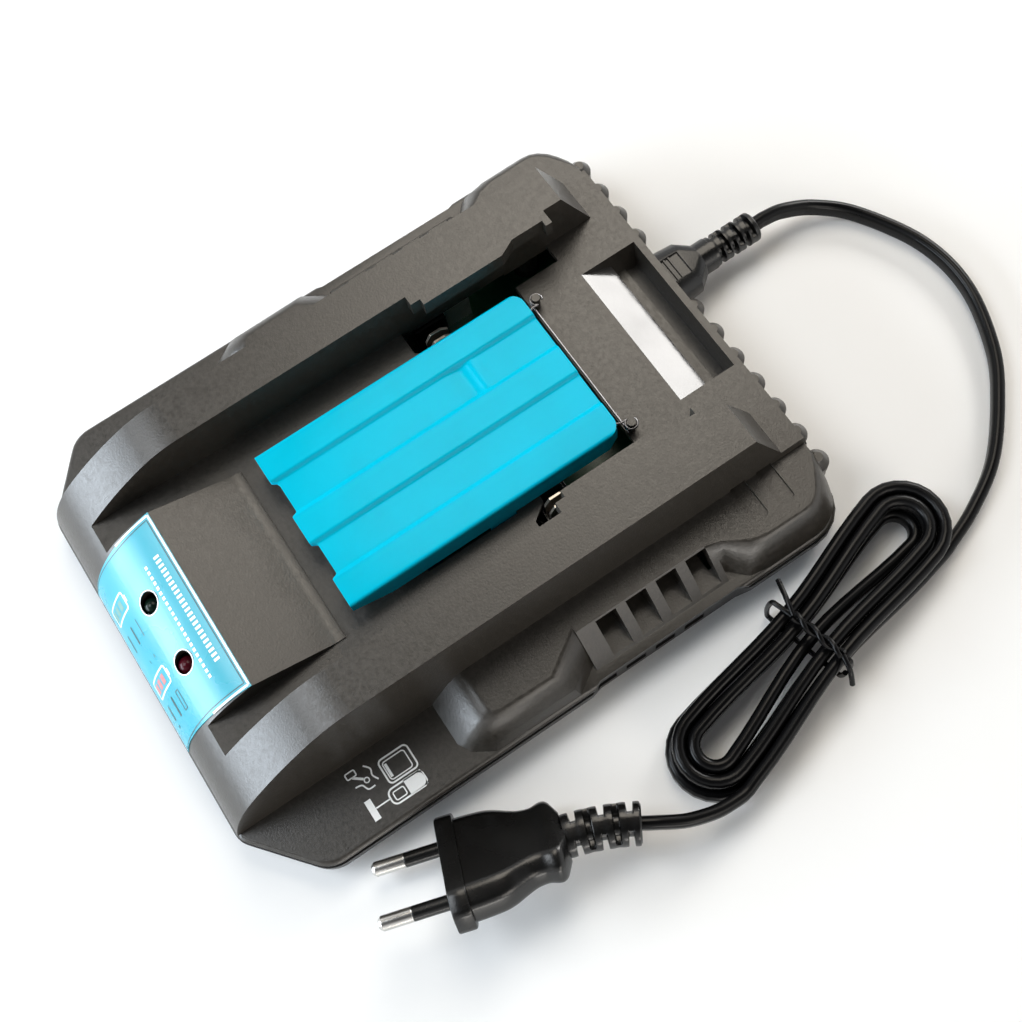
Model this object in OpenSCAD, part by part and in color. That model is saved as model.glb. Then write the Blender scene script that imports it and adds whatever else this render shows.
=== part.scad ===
// Charger for a slide-on tool battery, with its mains lead folded into a hank.
// Drawn from the front lip backwards: y = 0 is the front, then everything is moved by half
// the body's length, so the origin is under the body's middle. Z = 0 is the table.

/* [Body] */
// Overall length of the body, front lip to the tips of the rear ribs
body_len = 190; // [186:1:200]
// Overall width of the body
body_w = 150; // [148:1:158]
// Height of the rail tops above the table
body_h = 44; // [43:0.5:48]
// Wall thickness of both shells
wall = 2.2; // [1.8:0.1:2.6]
// Height of the parting line between the shells
part_z = 10; // [9.5:0.25:11]
// Height of the flat side wings
wing_z = 12; // [11.5:0.25:13]
// Height of the shoulders beside the rails
shoulder_z = 22; // [20:0.5:24]
// Width of the straight part of the front edge
front_flat = 109; // [104:1:114]
// Length of the cut front corners, along the sides
corner_run = 17; // [14:1:22]
// Radius of the rear corners
rear_corner_r = 12; // [8:1:14]

/* [Nose] */
// Radius where the rail tops start to fall
nose_top_r = 32; // [28:1:36]
// Radius of the long sloping part of the nose
nose_mid_r = 88; // [80:1:96]
// Radius above the front lip
nose_low_r = 31; // [28:1:34]

/* [Rails] */
// Gap between the two rails
rail_gap = 76; // [74:0.5:80]
// Width of each rail's flat top
rail_top_w = 13; // [12:0.5:15]
// Draft of the rails' outer walls, in degrees
rail_draft = 4.1; // [2:0.1:5]
// Distance from the rails' rear ends to the tips of the rear ribs
rail_back = 22; // [20:1:26]
// Length of the slope behind each rail
rail_slope = 9.4; // [7:0.2:11]
// Height of the lips under the rail tops
lip_h = 5.5; // [4:0.5:7]
// How far the lips reach in from the rails
lip_reach = 5; // [3.5:0.25:6]

/* [Pack bay] */
// Height of the channel floor
floor_z = 26.5; // [25:0.25:27.5]
// Step from the channel floor down to the rear deck
deck_drop = 1; // [0.5:0.25:2]
// Front edge of the contact pit
pit_y = 112; // [110:0.5:114]
// Length of the contact pit
pit_len = 35; // [33:0.5:36]
// Length of the narrow grooves that run on behind the pit
groove_len = 14.8; // [10:0.4:16]
// Width of the deck tongue between these grooves
tongue_w = 63.6; // [60:0.4:66]

/* [Console] */
// Width of the console between the rails
console_w = 57.2; // [54:0.4:60]
// Distance of the console's ridge from the front
ridge_y = 26.9; // [24:0.3:30]
// Radius of the console's front face
console_r = 35; // [32:1:40]
// Where the ramp behind the ridge ends
ramp_foot_y = 50; // [46:1:54]
// Thickness of the fine step at the ramp's foot
ramp_step = 0.5; // [0.3:0.1:0.8]
// Distance between the two lamp windows
lamp_gap = 19.5; // [16:0.5:24]
// Distance of the lamp windows from the front
lamp_y = 14.5; // [13:0.5:17]
// How far the pair of windows sits to the right of the middle
lamp_shift = 1.5; // [0:0.25:2]
// Diameter of the lamp windows
window_d = 6.2; // [5.6:0.1:6.4]
// Diameter of the lamps
lamp_d = 5.6; // [5:0.2:5.8]
// Depth of the lamps below the console's face
lamp_depth = 1.2; // [0.8:0.1:2]
// Width of the label at its lower edge
label_low_w = 52.8; // [50:0.4:57]
// Height of the label's lower edge above the wings
label_foot = 0.2; // [0.1:0.1:2]

/* [Shoulders and vents] */
// How far the shoulders' tops stand in from the sides
shoulder_in = 8.6; // [7:0.2:10]
// Where the front shoulder starts
shoulder_y = 61.5; // [58:0.5:64]
// Length of the slope at the front of the shoulder
shoulder_ramp = 12.5; // [9:0.5:15]
// Where the vent bay starts
vent_y = 110; // [108:0.5:112]
// Number of vent openings in each bay
vent_n = 4; // [3:1:5]
// Width of a vent opening
vent_w = 6.5; // [5.5:0.1:7]
// Thickness of the bent fins between the openings
fin_t = 3.2; // [2.6:0.1:3.6]
// Depth of the fins, inwards from their knees
fin_depth = 10; // [7:0.5:12]
// How far the sides step in beside the vents
bay_step = 1.6; // [0:0.2:1.8]
// Height of the sill under the vents, above the wings
sill_h = 0.8; // [0.4:0.2:1.6]

/* [Latch recess] */
// Width of the latch recess at the deck
latch_w = 48.4; // [44:0.4:52]
// Length of the latch recess
latch_len = 19.4; // [17:0.2:20]
// Depth of the latch recess below the deck
latch_depth = 10.6; // [8:0.2:10.8]
// Thickness of the latch recess's floor
latch_floor = 1; // [0.8:0.1:1.2]

/* [Rear ribs] */
// Radius of a rear rib
rib_r = 3.5; // [2.6:0.1:3.8]
// Spacing of the rear ribs
rib_pitch = 9.6; // [8:0.2:10.4]
// Height of the rear ribs
rib_top = 20; // [18:0.5:22]

/* [Terminal cover] */
// Width of the sliding terminal cover
cover_w = 51; // [48:0.5:54]
// Front edge of the cover when it is closed
cover_y = 58.5; // [57:0.5:60]
// Length of the cover
cover_len = 85.5; // [82:0.5:88]
// Height of the cover's top above the channel floor
cover_h = 9.5; // [9:0.25:11]
// Thickness of the cover's top plate
cover_t = 2.5; // [2.2:0.1:3]
// Thickness of the cover's side walls
cover_wall = 1.8; // [1.4:0.1:2]
// How far the cover slides forward
cover_travel = 20; // [16:1:20]
// Gap between the sliding cover and the housing
cover_gap = 0.4; // [0.3:0.05:0.5]
// Depth of the recessed bands along the cover
band_depth = 1; // [0.6:0.1:1.2]

/* [Terminals and springs] */
// Spacing of the two power terminals
terminal_gap = 60; // [57:0.5:62]
// Height of the power terminals' tips above the channel floor
terminal_rise = 3.5; // [2:0.5:5]
// Diameter of the spring wire
spring_wire = 0.7; // [0.5:0.1:0.8]
// Mean diameter of the spring coils
spring_d = 2.8; // [2.6:0.1:3]
// Number of coils in each spring
spring_turns = 14; // [10:1:16]
// Height of the springs above the channel floor
spring_rise = 3; // [2.6:0.1:3.4]

/* [Board] */
// Height of the board's underside above the table
board_z = 6; // [5.5:0.25:6.5]
// Thickness of the board
board_t = 1.6; // [1.2:0.2:2]
// Width of the board
board_w = 130; // [120:1:134]

/* [Feet and screws] */
// Thickness of the rubber feet below the lower shell
foot_h = 2; // [1.5:0.25:2.5]
// Diameter of the rubber feet
foot_d = 12; // [8:0.5:14]
// Diameter of the housing screws
screw_d = 3; // [2.5:0.1:3.5]

/* [Mains inlet and connector] */
// Sideways place of the inlet in the rear wall
inlet_x = -15.2; // [-15.8:0.2:-13]
// Width of the inlet's body
inlet_w = 18.4; // [17.6:0.2:19]
// Spacing of the inlet's pins
inlet_pitch = 8.6; // [8:0.1:9]
// Length of the connector's grip behind the rear wall
grip_len = 17; // [14:1:20]
// Length of the connector's ribbed sleeve
sleeve_len = 16; // [14:1:20]

/* [Cord] */
// Thickness of the flat two-core cord
cord_t = 3.6; // [3:0.1:4]
// Width of the flat cord, which stands on its edge
cord_h = 5.8; // [5:0.1:6.2]
// Length of the hank's straight runs
hank_run = 80; // [70:1:90]
// Whole turns wound in on the lower layer, and out again on the upper one
hank_turns = 2; // [1:1:3]
// Radius of the innermost fold
hank_inner_r = 5; // [4.6:0.1:7]
// How far the tie draws the runs in at the waist
hank_waist = 2.6; // [1:0.1:2.8]
// Clear gap kept between neighbouring strands
strand_gap = 0.5; // [0.45:0.05:0.9]
// Diameter of the wire tie
tie_d = 1.5; // [1.2:0.1:2]

/* [Mains plug] */
// Width of the plug's collar
plug_w = 35.3; // [34:0.1:36]
// Thickness of the plug's collar
plug_t = 13.7; // [13:0.1:14.5]
// Width of the flat top of the collar
plug_flat = 26.1; // [24:0.1:28]
// Length of the collar along the pins
collar_len = 5; // [4:0.5:7]
// Length of the plug's body behind the collar
plug_body_len = 27; // [24:1:30]
// Diameter of the plug's pins
pin_d = 4; // [3.9:0.05:4.1]
// Length of the plug's pins
pin_len = 19; // [18:0.5:20]
// Spacing of the plug's pins
pin_pitch = 18.6; // [18:0.1:19]
// Length of the insulating sleeves on the pins
pin_sleeve_len = 10; // [8:0.5:11]

/* [Hidden] */
$fn = 32;

// Colours, as on the object
shell_grey = [0.27, 0.26, 0.26];
cover_blue = [0.05, 0.66, 0.82];
black = [0.05, 0.05, 0.06];
steel = [0.75, 0.75, 0.77];
copper = [0.75, 0.5, 0.3];

// A small overlap that keeps cuts clean
cut = 1;

// Nose: three arcs, tangent to each other, that end upright at the front lip
nose_turn = [24, 40];
nose_run = nose_top_r * sin(nose_turn[0])
         + nose_mid_r * (sin(nose_turn[1]) - sin(nose_turn[0]))
         + nose_low_r * (1 - sin(nose_turn[1]));
nose_c1 = [nose_run, body_h - nose_top_r];
nose_c2 = nose_c1 + (nose_top_r - nose_mid_r) * dir(90 + nose_turn[0]);
nose_c3 = nose_c2 + (nose_mid_r - nose_low_r) * dir(90 + nose_turn[1]);

nose_step = (90 - nose_turn[1]) / 16;

// Rear end of the body
rear_y = body_len - rib_r;
deck_z = floor_z - deck_drop;
pit_rear = pit_y + pit_len;
rail_end = body_len - rail_back;
slope_foot = rail_end + rail_slope;
slope_tilt = atan((body_h - deck_z) / rail_slope);
deck_edge = body_len - 5;

// Console: its front face runs on from the nose, its ramp falls to the channel floor
console_start = nose_c3 + nose_low_r * dir(90 + nose_turn[1]);
console_c = console_start - console_r * dir(90 + nose_turn[1]);
ridge_angle = acos((ridge_y - console_c.x) / console_r);
ridge_z = console_c.y + console_r * sin(ridge_angle);
ramp_foot_z = floor_z + ramp_step;
ramp_toe = 3;
lamp_x = [lamp_shift - lamp_gap / 2, lamp_shift + lamp_gap / 2];
film_t = 0.25;
film_gap = 0.04;
lamp_face_z = console_c.y + sqrt(pow(console_r, 2) - pow(lamp_y - console_c.x, 2));

// Shoulders and vents
bay_len = vent_n * vent_w + (vent_n - 1) * fin_t;
bay_rear = vent_y + bay_len;
knee_z = (wing_z + shoulder_z) / 2 - 0.5;
half_w = body_w / 2;
fin_x = half_w - 8.2 - fin_depth;
half_s = half_w - shoulder_in;

// Latch recess
latch_y = body_len - 7.2 - latch_len;
latch_end = body_len - 7.2;

// Cover
cover_top = floor_z + cover_h;
cover_under = cover_top - cover_t;
cover_low = floor_z + 0.9;
cover_rear = cover_y + cover_len;
band_edges = [0.18, 0.40, 0.595, 0.81] * cover_w;
leg_len = 8;
leg_y = cover_y + cover_len / 2;
slot_x = cover_w / 2 - cover_wall - cover_gap;
barb = 1.2;

// Springs: from the cover's hooks to the posts behind the pit
post_r = 1.2;
eye_r = post_r + spring_wire / 2 + 0.15;
post_y = pit_rear + 1.6;
post_x = cover_w / 2 - cover_wall - spring_d / 2 - spring_wire / 2 - cover_gap + eye_r;
spring_x = post_x - eye_r;
hook_x = spring_x - 0.6;
hook_y = cover_y + 20;
spring_z = floor_z + spring_rise;

// Board and what stands on it
board_top = board_z + board_t;
board_front = 12;
board_rear = body_len - 18;
under_floor = floor_z - wall;

// Inlet and connector
inlet_h = 9.6;
inlet_z = foot_h + wall + 0.1 + inlet_h / 2;
inlet_depth = 13;
inlet_front = rear_y + 0.5;
socket_w = 16;
socket_h = 7.8;
socket_depth = 9.5;
nose_fit = 0.35;
grip_h = 11.3;
pocket_w = 8;
sleeve_w = 9.6;
sleeve_h = 8.8;
slot_n = 6;
slot_w = 1.2;
grip_start = inlet_front + 0.4;
grip_end = grip_start + grip_len;
sleeve_end = grip_end + sleeve_len;

// Screws
screw_spots = [[45, 26], [45, body_len - 32]];
board_spots = [[58, 34], [58, body_len - 44]];
foot_spots = [[58, 20], [58, body_len - 26]];

// Plug: it lies on one of its slanting flats
plug_tilt = 38;
plug_side = plug_t - 2 * (plug_w - plug_flat) / 2 * tan(plug_tilt);
plug_axis_z = plug_flat / 2 * sin(plug_tilt) + plug_t / 2 * cos(plug_tilt);
plug_place = [92.7, -53.4];
plug_heading = -106.8;
plug_sleeve_bend = 15;
plug_sleeve_len = 20;
waist_w = 22.4;
ring_w = 11.6;
ring_h = 10;

// Hank: its middle, the direction of its runs, and the spiral's sizes
hank_mid = [94.5, 62];
hank_axis = -75.3;
strand_pitch = cord_t + strand_gap;
hank_outer_r = hank_inner_r + hank_turns * strand_pitch;
hank_lift = tie_d + 0.35;
layer_z = [cord_h / 2, cord_h * 1.5 + strand_gap];
ring_n = 24;

// Route of the free lead, from the connector's sleeve to the hank, as x, y and height
lead_route = [[-15.2, 129.5, 9], [-14.5, 136, 8], [-11, 146, 5], [-2, 156, 3],
              [17, 165, 2.9], [36, 166, 2.9], [56, 159, 2.9], [70, 149, 2.9],
              [83, 136, 2.9], [91, 122, 2.9], [95.2, 111, 2.9]];
// Route of the short tail, from the hank to the plug
tail_route = [[118.8, 19, 9.6], [118.3, 13, 10.7], [116, 5.5, 12.2]];

function dir(a) = [cos(a), sin(a)];
function unit(v) = v / norm(v);

// Points along an arc, in n steps
function arc(c, r, from, to, n) = [for (i = [0:n]) c + r * dir(from + (to - from) * i / n)];

// A polygon given as [x, y, corner radius], with its corners rounded
function corner(a, b, c, r, n) =
    let (u = unit(a - b), v = unit(c - b), half = acos(u * v) / 2)
    let (m = b + unit(u + v) * r / sin(half), s = b + u * r / tan(half) - m)
    let (e = b + v * r / tan(half) - m, a0 = atan2(s.y, s.x))
    let (turn = atan2(s.x * e.y - s.y * e.x, s * e))
    [for (i = [0:n]) m + r * dir(a0 + turn * i / n)];
function flat2(p) = [p.x, p.y];
function rounded(pts, n = 5) = let (k = len(pts)) [for (i = [0:k - 1])
    each pts[i][2] == 0 ? [flat2(pts[i])]
       : corner(flat2(pts[(i + k - 1) % k]), flat2(pts[i]), flat2(pts[(i + 1) % k]), pts[i][2], n)];

// Body outline seen from above, drawn in by d
function outline(d) =
    let (side = [[front_flat / 2 - 0.4 * d, d, 7], [half_w - d, corner_run + 0.5 * d, 9],
                 [half_w - d, rear_y + 0.5 - d, rear_corner_r - d / 2]])
    rounded(concat(side, [for (i = [2:-1:0]) [-side[i].x, side[i].y, side[i][2]]]));

// Nose curve as y and z, drawn in by d
function nose(d) = concat(
    arc(nose_c1, nose_top_r - d, 90, 90 + nose_turn[0], 8),
    arc(nose_c2, nose_mid_r - d, 90 + nose_turn[0] + 2, 90 + nose_turn[1], 7),
    arc(nose_c3, nose_low_r - d, 90 + nose_turn[1] + nose_step, 180, 15));

// Side view of the middle block, drawn in by d
function side_view(d) =
    let (back = d * tan(slope_tilt / 2))
    concat([[rear_y - d, -5], [rear_y - d, rib_top], [deck_edge - d, deck_z - d],
            [slope_foot - back, deck_z - d], [rail_end - back, body_h - d]],
           nose(d), [[d, -5]]);

// Front view of the middle block, drawn in by d
function front_view(d) =
    let (top = rail_gap / 2 + rail_top_w - d, low = top + (body_h - part_z) * tan(rail_draft))
    [[-low, part_z - (d > 0 ? cut : 0)], [low, part_z - (d > 0 ? cut : 0)],
     [top, body_h - d], [-top, body_h - d]];

// Side view of everything that is open above the channel floor, lowered by d
function channel_view(d) = [
    [-5, body_h + 20], [-5, console_start.y - d], [console_start.x, console_start.y - d],
    [ramp_foot_y, floor_z - d], [pit_rear, floor_z - d], [pit_rear, deck_z - d],
    [body_len + 5, deck_z - d], [body_len + 5, body_h + 20]];

// Side view of the console, drawn in by d
function console_view(d) = concat(
    arc(console_c, console_r - d, 90 + nose_turn[1], ridge_angle, 12),
    [[ramp_foot_y, ramp_foot_z - d], [ramp_foot_y + ramp_toe, ramp_foot_z - d],
     [ramp_foot_y + ramp_toe, under_floor - cut], [console_start.x + d, under_floor - cut]]);

// Sweep of a closed section along points; the section's x is level, its y is upright
function along(p, i) = unit(p[min(i + 1, len(p) - 1)] - p[max(i - 1, 0)]);
function ring(p, i, section) =
    let (t = along(p, i), n = unit(cross(t, [0, 0, 1])), b = cross(n, t))
    [for (s = section) p[i] + s.x * n + s.y * b];
module sweep(p, section) {
    k = len(section);
    last = len(p) - 1;
    points = [for (i = [0:last]) each ring(p, i, section)];
    sides = [for (i = [0:last - 1], j = [0:k - 1]) each
        let (a = i * k + j, b = i * k + (j + 1) % k) [[a, b, a + k], [b, b + k, a + k]]];
    caps = [[for (j = [k - 1:-1:0]) j], [for (j = [0:k - 1]) last * k + j]];
    polyhedron(points, concat(sides, caps), convexity = 10);
}

// Smooth curve through hand-chosen points, n steps between each two
function blend(a, b, c, d, t) = 0.5 * ((2 * b) + (c - a) * t + (2 * a - 5 * b + 4 * c - d) * t * t
    + (3 * b - a - 3 * c + d) * t * t * t);
function smooth(p, n) = let (m = len(p) - 1) concat([for (i = [0:m - 1], k = [0:n - 1])
    blend(p[max(i - 1, 0)], p[i], p[i + 1], p[min(i + 2, m)], k / n)], [p[m]]);

// Sections of the flat cord on its edge: eight sides on the free lead, six in the hank
core = (cord_h - cord_t) / 2;
lead_section = [[cord_t / 2, -core], [cord_t / 2, core], [cord_t / 4, cord_h / 2],
                [-cord_t / 4, cord_h / 2], [-cord_t / 2, core], [-cord_t / 2, -core],
                [-cord_t / 4, -cord_h / 2], [cord_t / 4, -cord_h / 2]];
hank_section = [[cord_t / 2, -core], [cord_t / 2, core], [0, cord_h / 2],
                [-cord_t / 2, core], [-cord_t / 2, -core], [0, -cord_h / 2]];
function round_section(r, k) = [for (j = [0:k - 1]) r * dir(360 * j / k)];

// Hank: u runs along it and v across it, s counts turns. A turn is a run, a fold, a run and
// a fold. It spirals in on the lower layer, climbs along a run and spirals out again.
hank_end = 2 * hank_turns + 0.25;
climb_dip = 1.6;
function climb(s) = min(1, max(0, (s - hank_turns) / 0.25));
function hank_r(s) = s < hank_turns ? hank_outer_r - strand_pitch * s
    : s < hank_turns + 0.25 ? hank_inner_r - climb_dip * sin(180 * climb(s))
    : hank_inner_r + strand_pitch * (s - hank_turns - 0.25);
function drawn_in(q) = pow(sin(180 * q), 2);
function hank_uvz(s) =
    let (q = s - floor(s), r = hank_r(s), side = q < 0.5 ? 1 : -1, f = (q % 0.5) / 0.25)
    let (z = layer_z[0] + (layer_z[1] - layer_z[0]) * (1 - cos(180 * climb(s))) / 2)
    f <= 1 ? [side * hank_run * (f - 0.5), side * (r - hank_waist * drawn_in(f)),
              z + hank_lift * drawn_in(f)]
    : [side * (hank_run / 2 + r * sin(180 * (f - 1))), side * r * cos(180 * (f - 1)), z];
function hank_place(p) = [
    hank_mid.x + p[0] * cos(hank_axis) - p[1] * sin(hank_axis),
    hank_mid.y + p[0] * sin(hank_axis) + p[1] * cos(hank_axis), p[2]];
hank_points = [for (i = [0:hank_end * ring_n]) hank_place(hank_uvz(i / ring_n))];

// Least clear gap between strands that are at least a fifth of a turn apart
function strand_apart(a, b) =
    max(norm(flat2(a) - flat2(b)) - cord_t, abs(a.z - b.z) - cord_h);
hank_gap = min([for (i = [0:len(hank_points) - 1], j = [i + 5:1:len(hank_points) - 1])
    strand_apart(hank_points[i], hank_points[j])]);
echo(least_hank_gap = hank_gap);

// Moves what is drawn from the front lip to the part's own frame
module from_front() {
    translate([0, -body_len / 2, 0]) children();
}

// Extrudes a y-z outline across the body
module across(half) {
    rotate([90, 0, 90]) linear_extrude(2 * half, center = true) children();
}

// Extrudes an x-z outline along the body
module lengthwise(y0, y1) {
    translate([0, y1, 0]) rotate([90, 0, 0]) linear_extrude(y1 - y0) children();
}

module both_sides() {
    children();
    mirror([1, 0, 0]) children();
}

module slab(points, z, h) {
    translate([0, 0, z]) linear_extrude(h) polygon(points);
}

// Middle block with the rails, before it is hollowed
module middle_block(d) {
    difference() {
        intersection() {
            across(body_w / 2) polygon(side_view(d));
            lengthwise(-cut, body_len + cut) polygon(front_view(d));
        }
        across(rail_gap / 2 + d) polygon(channel_view(d));
    }
}

// Flat slab of the side wings, with a rounded top edge
module wing_slab() {
    hull() {
        slab(outline(0.4), part_z, (wing_z - part_z) / 2);
        slab(outline(0.8), part_z, (wing_z - part_z) * 0.8);
        slab(outline(1.6), part_z, wing_z - part_z);
    }
}

// Rounded mass between a low outline and a high one with as many points: its sides start
// almost straight and turn over at the top edge
module rounded_mass(low, high) {
    z0 = wing_z - 1;
    hull() {
        for (t = [0, 0.4, 0.7, 0.88, 0.97, 1]) {
            f = 0.5 * t + 0.5 * (1 - sqrt(1 - t * t));
            slab([for (i = [0:len(low) - 1]) (1 - f) * low[i] + f * high[i]],
                 z0 + t * (shoulder_z - 0.1 - z0), 0.1);
        }
    }
}

// Shoulder in front of the vents: it rises from the wing and ends in slanting facets
module front_shoulder() {
    inner = rail_gap / 2 + rail_top_w - 1;
    top_y = shoulder_y + shoulder_ramp;
    facet_x = half_w - 17.3;
    rounded_mass(
        [[inner, shoulder_y], [half_w - 9, shoulder_y], [half_w - 5, shoulder_y + 2],
         [half_w - 1.2, shoulder_y + 8], [half_w - 1, vent_y - 13], [half_w - 4.4, vent_y - 9],
         [half_w - 8.5, vent_y - 1.6], [facet_x, vent_y + 1], [inner, vent_y + 1]],
        [[inner, top_y], [half_s - 2, top_y], [half_s - 0.6, top_y + 0.8], [half_s, top_y + 2.5],
         [half_s + 0.4, vent_y - 18], [half_s - 3.9, vent_y - 11.6], [facet_x + 0.8, vent_y - 6],
         [facet_x, vent_y - 5.4], [inner, vent_y - 5.4]]);
}

// Shoulder behind the vents, round the rear corner: a narrow part beside the bay and the full
// width behind it, with a valley where the two meet
module rear_shoulder() {
    inner = rail_gap / 2 + rail_top_w - 1;
    back = rear_y + 0.3;
    rounded_mass(
        [[inner, bay_rear], [half_w - 7.7, bay_rear], [half_w - 6.4, bay_rear + 4],
         [half_w - 5.5, bay_rear + 12], [inner, bay_rear + 12]],
        [[inner, bay_rear], [half_s - 5.4, bay_rear], [half_s - 3.7, bay_rear + 5.4],
         [half_s - 2.4, bay_rear + 14], [inner, bay_rear + 14]]);
    rounded_mass(
        concat([[inner, bay_rear + 3], [half_w - 6.8, bay_rear + 3], [half_w - 1.9, bay_rear + 7.5],
                [half_w - 1, bay_rear + 13]],
               arc([half_w - 1 - rear_corner_r, back - rear_corner_r], rear_corner_r, 0, 90, 6),
               [[inner, back]]),
        [[inner, bay_rear + 4.4], [half_s - 4.1, bay_rear + 4.4], [half_s - 0.1, bay_rear + 11.6],
         [half_s + 1, bay_rear + 16], [half_s + 1.3, body_len - 16.4], [half_s + 1, body_len - 14],
         [half_s - 0.1, body_len - 12], [half_s - 2.1, body_len - 10],
         [half_s - 4.8, body_len - 8.2], [half_s - 7.9, body_len - 6.2],
         [half_s - 11.1, body_len - 4.8], [inner, body_len - 4.8]]);
}

// Vent bay: a band, a knee and a steep wall
function bay_view(d) = [[rail_gap / 2 + rail_top_w - 1, part_z - (d > 0 ? cut : 0)],
    [rail_gap / 2 + rail_top_w - 1, shoulder_z - d], [half_w - 14 - 1.5 * d, shoulder_z - d],
    [half_w - 8.2 - 1.8 * d, knee_z - 0.3 * d], [half_w - 4.4 - 2.6 * d, wing_z - d / 2],
    [half_w - 4.4 - 2.6 * d, part_z - (d > 0 ? cut : 0)]];

module vent_windows() {
    for (k = [0:vent_n - 1]) {
        y0 = vent_y + k * (vent_w + fin_t);
        lengthwise(y0, y0 + vent_w)
            polygon([[fin_x - 2, wing_z + sill_h], [fin_x - 2, knee_z + 1],
                     [half_w - 13.6, shoulder_z - 0.8], [half_w - 13.6, shoulder_z + cut],
                     [half_w, shoulder_z + cut], [half_w, wing_z + sill_h]]);
    }
}

module rear_ribs(z0, z1, taper) {
    reach = floor((half_w - rear_corner_r - 2) / rib_pitch);
    for (k = [-reach:reach]) {
        if (abs(k * rib_pitch - inlet_x) > inlet_w / 2 + rib_r - 1) {
            translate([k * rib_pitch, rear_y, z0]) cylinder(h = z1 - z0 - taper, r = rib_r);
            if (taper > 0) {
                translate([k * rib_pitch, rear_y, z1 - taper])
                    cylinder(h = taper, r1 = rib_r, r2 = rib_r * 0.4);
            }
        }
    }
}

module outer_shell() {
    middle_block(0);
    intersection() {
        across(console_w / 2) polygon(console_view(0));
        across(body_w) polygon(side_view(0));
    }
    wing_slab();
    both_sides() {
        front_shoulder();
        rear_shoulder();
        lengthwise(vent_y - 6, bay_rear + 2) polygon(bay_view(0));
    }
    rear_ribs(part_z, rib_top, 3);
}

// Shallow step in both shells' sides beside the vents
module side_steps() {
    both_sides() {
        slab([[half_w + cut, vent_y - 12.6], [half_w - bay_step, vent_y - 7],
              [half_w - bay_step, bay_rear + 3], [half_w + cut, bay_rear + 9]], 0, wing_z + cut);
    }
}

// Hollow of the upper shell
module inner_hollow() {
    middle_block(wall);
    intersection() {
        across(console_w / 2 - wall) polygon(console_view(wall));
        across(body_w) polygon(side_view(wall));
    }
    inner = rail_gap / 2 + rail_top_w - 6;
    low = half_w - 1.6 * wall;
    both_sides() {
        intersection() {
            lengthwise(shoulder_y, vent_y - 10)
                polygon([[inner, part_z - cut], [inner, shoulder_z - wall],
                         [half_s - wall, shoulder_z - wall], [low, wing_z - wall / 2],
                         [low, part_z - cut]]);
            across(body_w) polygon([[shoulder_y + 1, part_z - cut], [shoulder_y + 1, part_z],
                [shoulder_y + shoulder_ramp + wall / 2, shoulder_z - wall],
                [vent_y, shoulder_z - wall], [vent_y, part_z - cut]]);
        }
        lengthwise(vent_y - 12, bay_rear)
            polygon([[inner, part_z - cut], [inner, shoulder_z - wall],
                     [fin_x, shoulder_z - wall], [fin_x, part_z - cut]]);
        lengthwise(bay_rear - cut, rear_y - 8)
            polygon([[inner, part_z - cut], [inner, shoulder_z - wall],
                     [half_s - 8.4, shoulder_z - wall], [half_w - 9, wing_z],
                     [half_w - 9, part_z - cut]]);
    }
}

// Latch recess: a sloping front wall, a step and a trough. Its walls lie d outside it, and
// its floor is thinner, because the mains inlet sits below.
function latch_view(d) =
    let (step_z = deck_z - latch_depth + 1.6, low = deck_z - latch_depth, t = min(d, latch_floor))
    let (top = deck_z + (d > 0 ? -0.5 : cut))
    [[latch_y - d, top], [latch_y + 11 - d, step_z + 0.8 - t], [latch_y + 11 - d, step_z - t],
     [latch_y + 15.2 - d, step_z - t], [latch_y + 15.2 - d, low - t], [latch_end + d, low - t],
     [latch_end + d, top]];
module latch_pocket(d) {
    low = deck_z - latch_depth - 2 * wall;
    intersection() {
        across(half_w) polygon(latch_view(d));
        lengthwise(0, body_len) polygon([[-latch_w / 2 + 2.7 - d, low],
            [latch_w / 2 - 2.7 + d, low], [latch_w / 2 + d, deck_z + cut],
            [-latch_w / 2 - d, deck_z + cut]]);
    }
}

// Opening in the channel floor round the terminals, with the narrow grooves behind it
module contact_pit() {
    edge = rail_gap / 2;
    slab([[-edge, pit_y], [-edge + 7.3, pit_y], [-edge + 11, pit_y + 5], [edge - 11, pit_y + 5],
          [edge - 7.3, pit_y], [edge, pit_y], [edge, pit_rear + groove_len],
          [tongue_w / 2, pit_rear + groove_len], [tongue_w / 2, pit_rear], [-tongue_w / 2, pit_rear],
          [-tongue_w / 2, pit_rear + groove_len], [-edge, pit_rear + groove_len]],
         under_floor - 2 * cut, wall + 4 * cut);
}

// Lips that the battery's own rails hook under
module rail_lips() {
    edge = rail_gap / 2 + cut;
    in = rail_gap / 2 - lip_reach;
    both_sides() {
        slab([[edge, pit_y + 4.5], [in + 2, pit_y + 4.5], [in + 2, pit_y + 7.5],
              [in, pit_y + 7.5], [in, pit_rear - 2], [in + 2.5, pit_rear + 3],
              [in + 2.5, rail_end - 8], [in + 0.5, rail_end - 8], [in + 0.5, rail_end - 6],
              [edge, rail_end - 6]], body_h - lip_h, lip_h);
    }
}

// Slots in the floor for the cover's legs
module cover_slots() {
    w = cover_wall + 2 * cover_gap;
    both_sides() {
        translate([slot_x, leg_y - cover_travel - cover_gap, under_floor - cut])
            cube([w, leg_len + cover_travel + 2 * cover_gap, wall + 2 * cut]);
    }
}

// Shallow pads pressed into the rear shoulders
module shoulder_pads() {
    in = rail_gap / 2 + rail_top_w + cut;
    out = half_s - 2.6;
    both_sides() {
        for (y0 = [body_len - 29.5, body_len - 20.8]) {
            slab(rounded([[in, y0, 0], [out, y0, 1.5], [out, y0 + 5, 1.5], [in, y0 + 5, 0]], 3),
                 shoulder_z - 0.6, 2);
        }
    }
}

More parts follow.
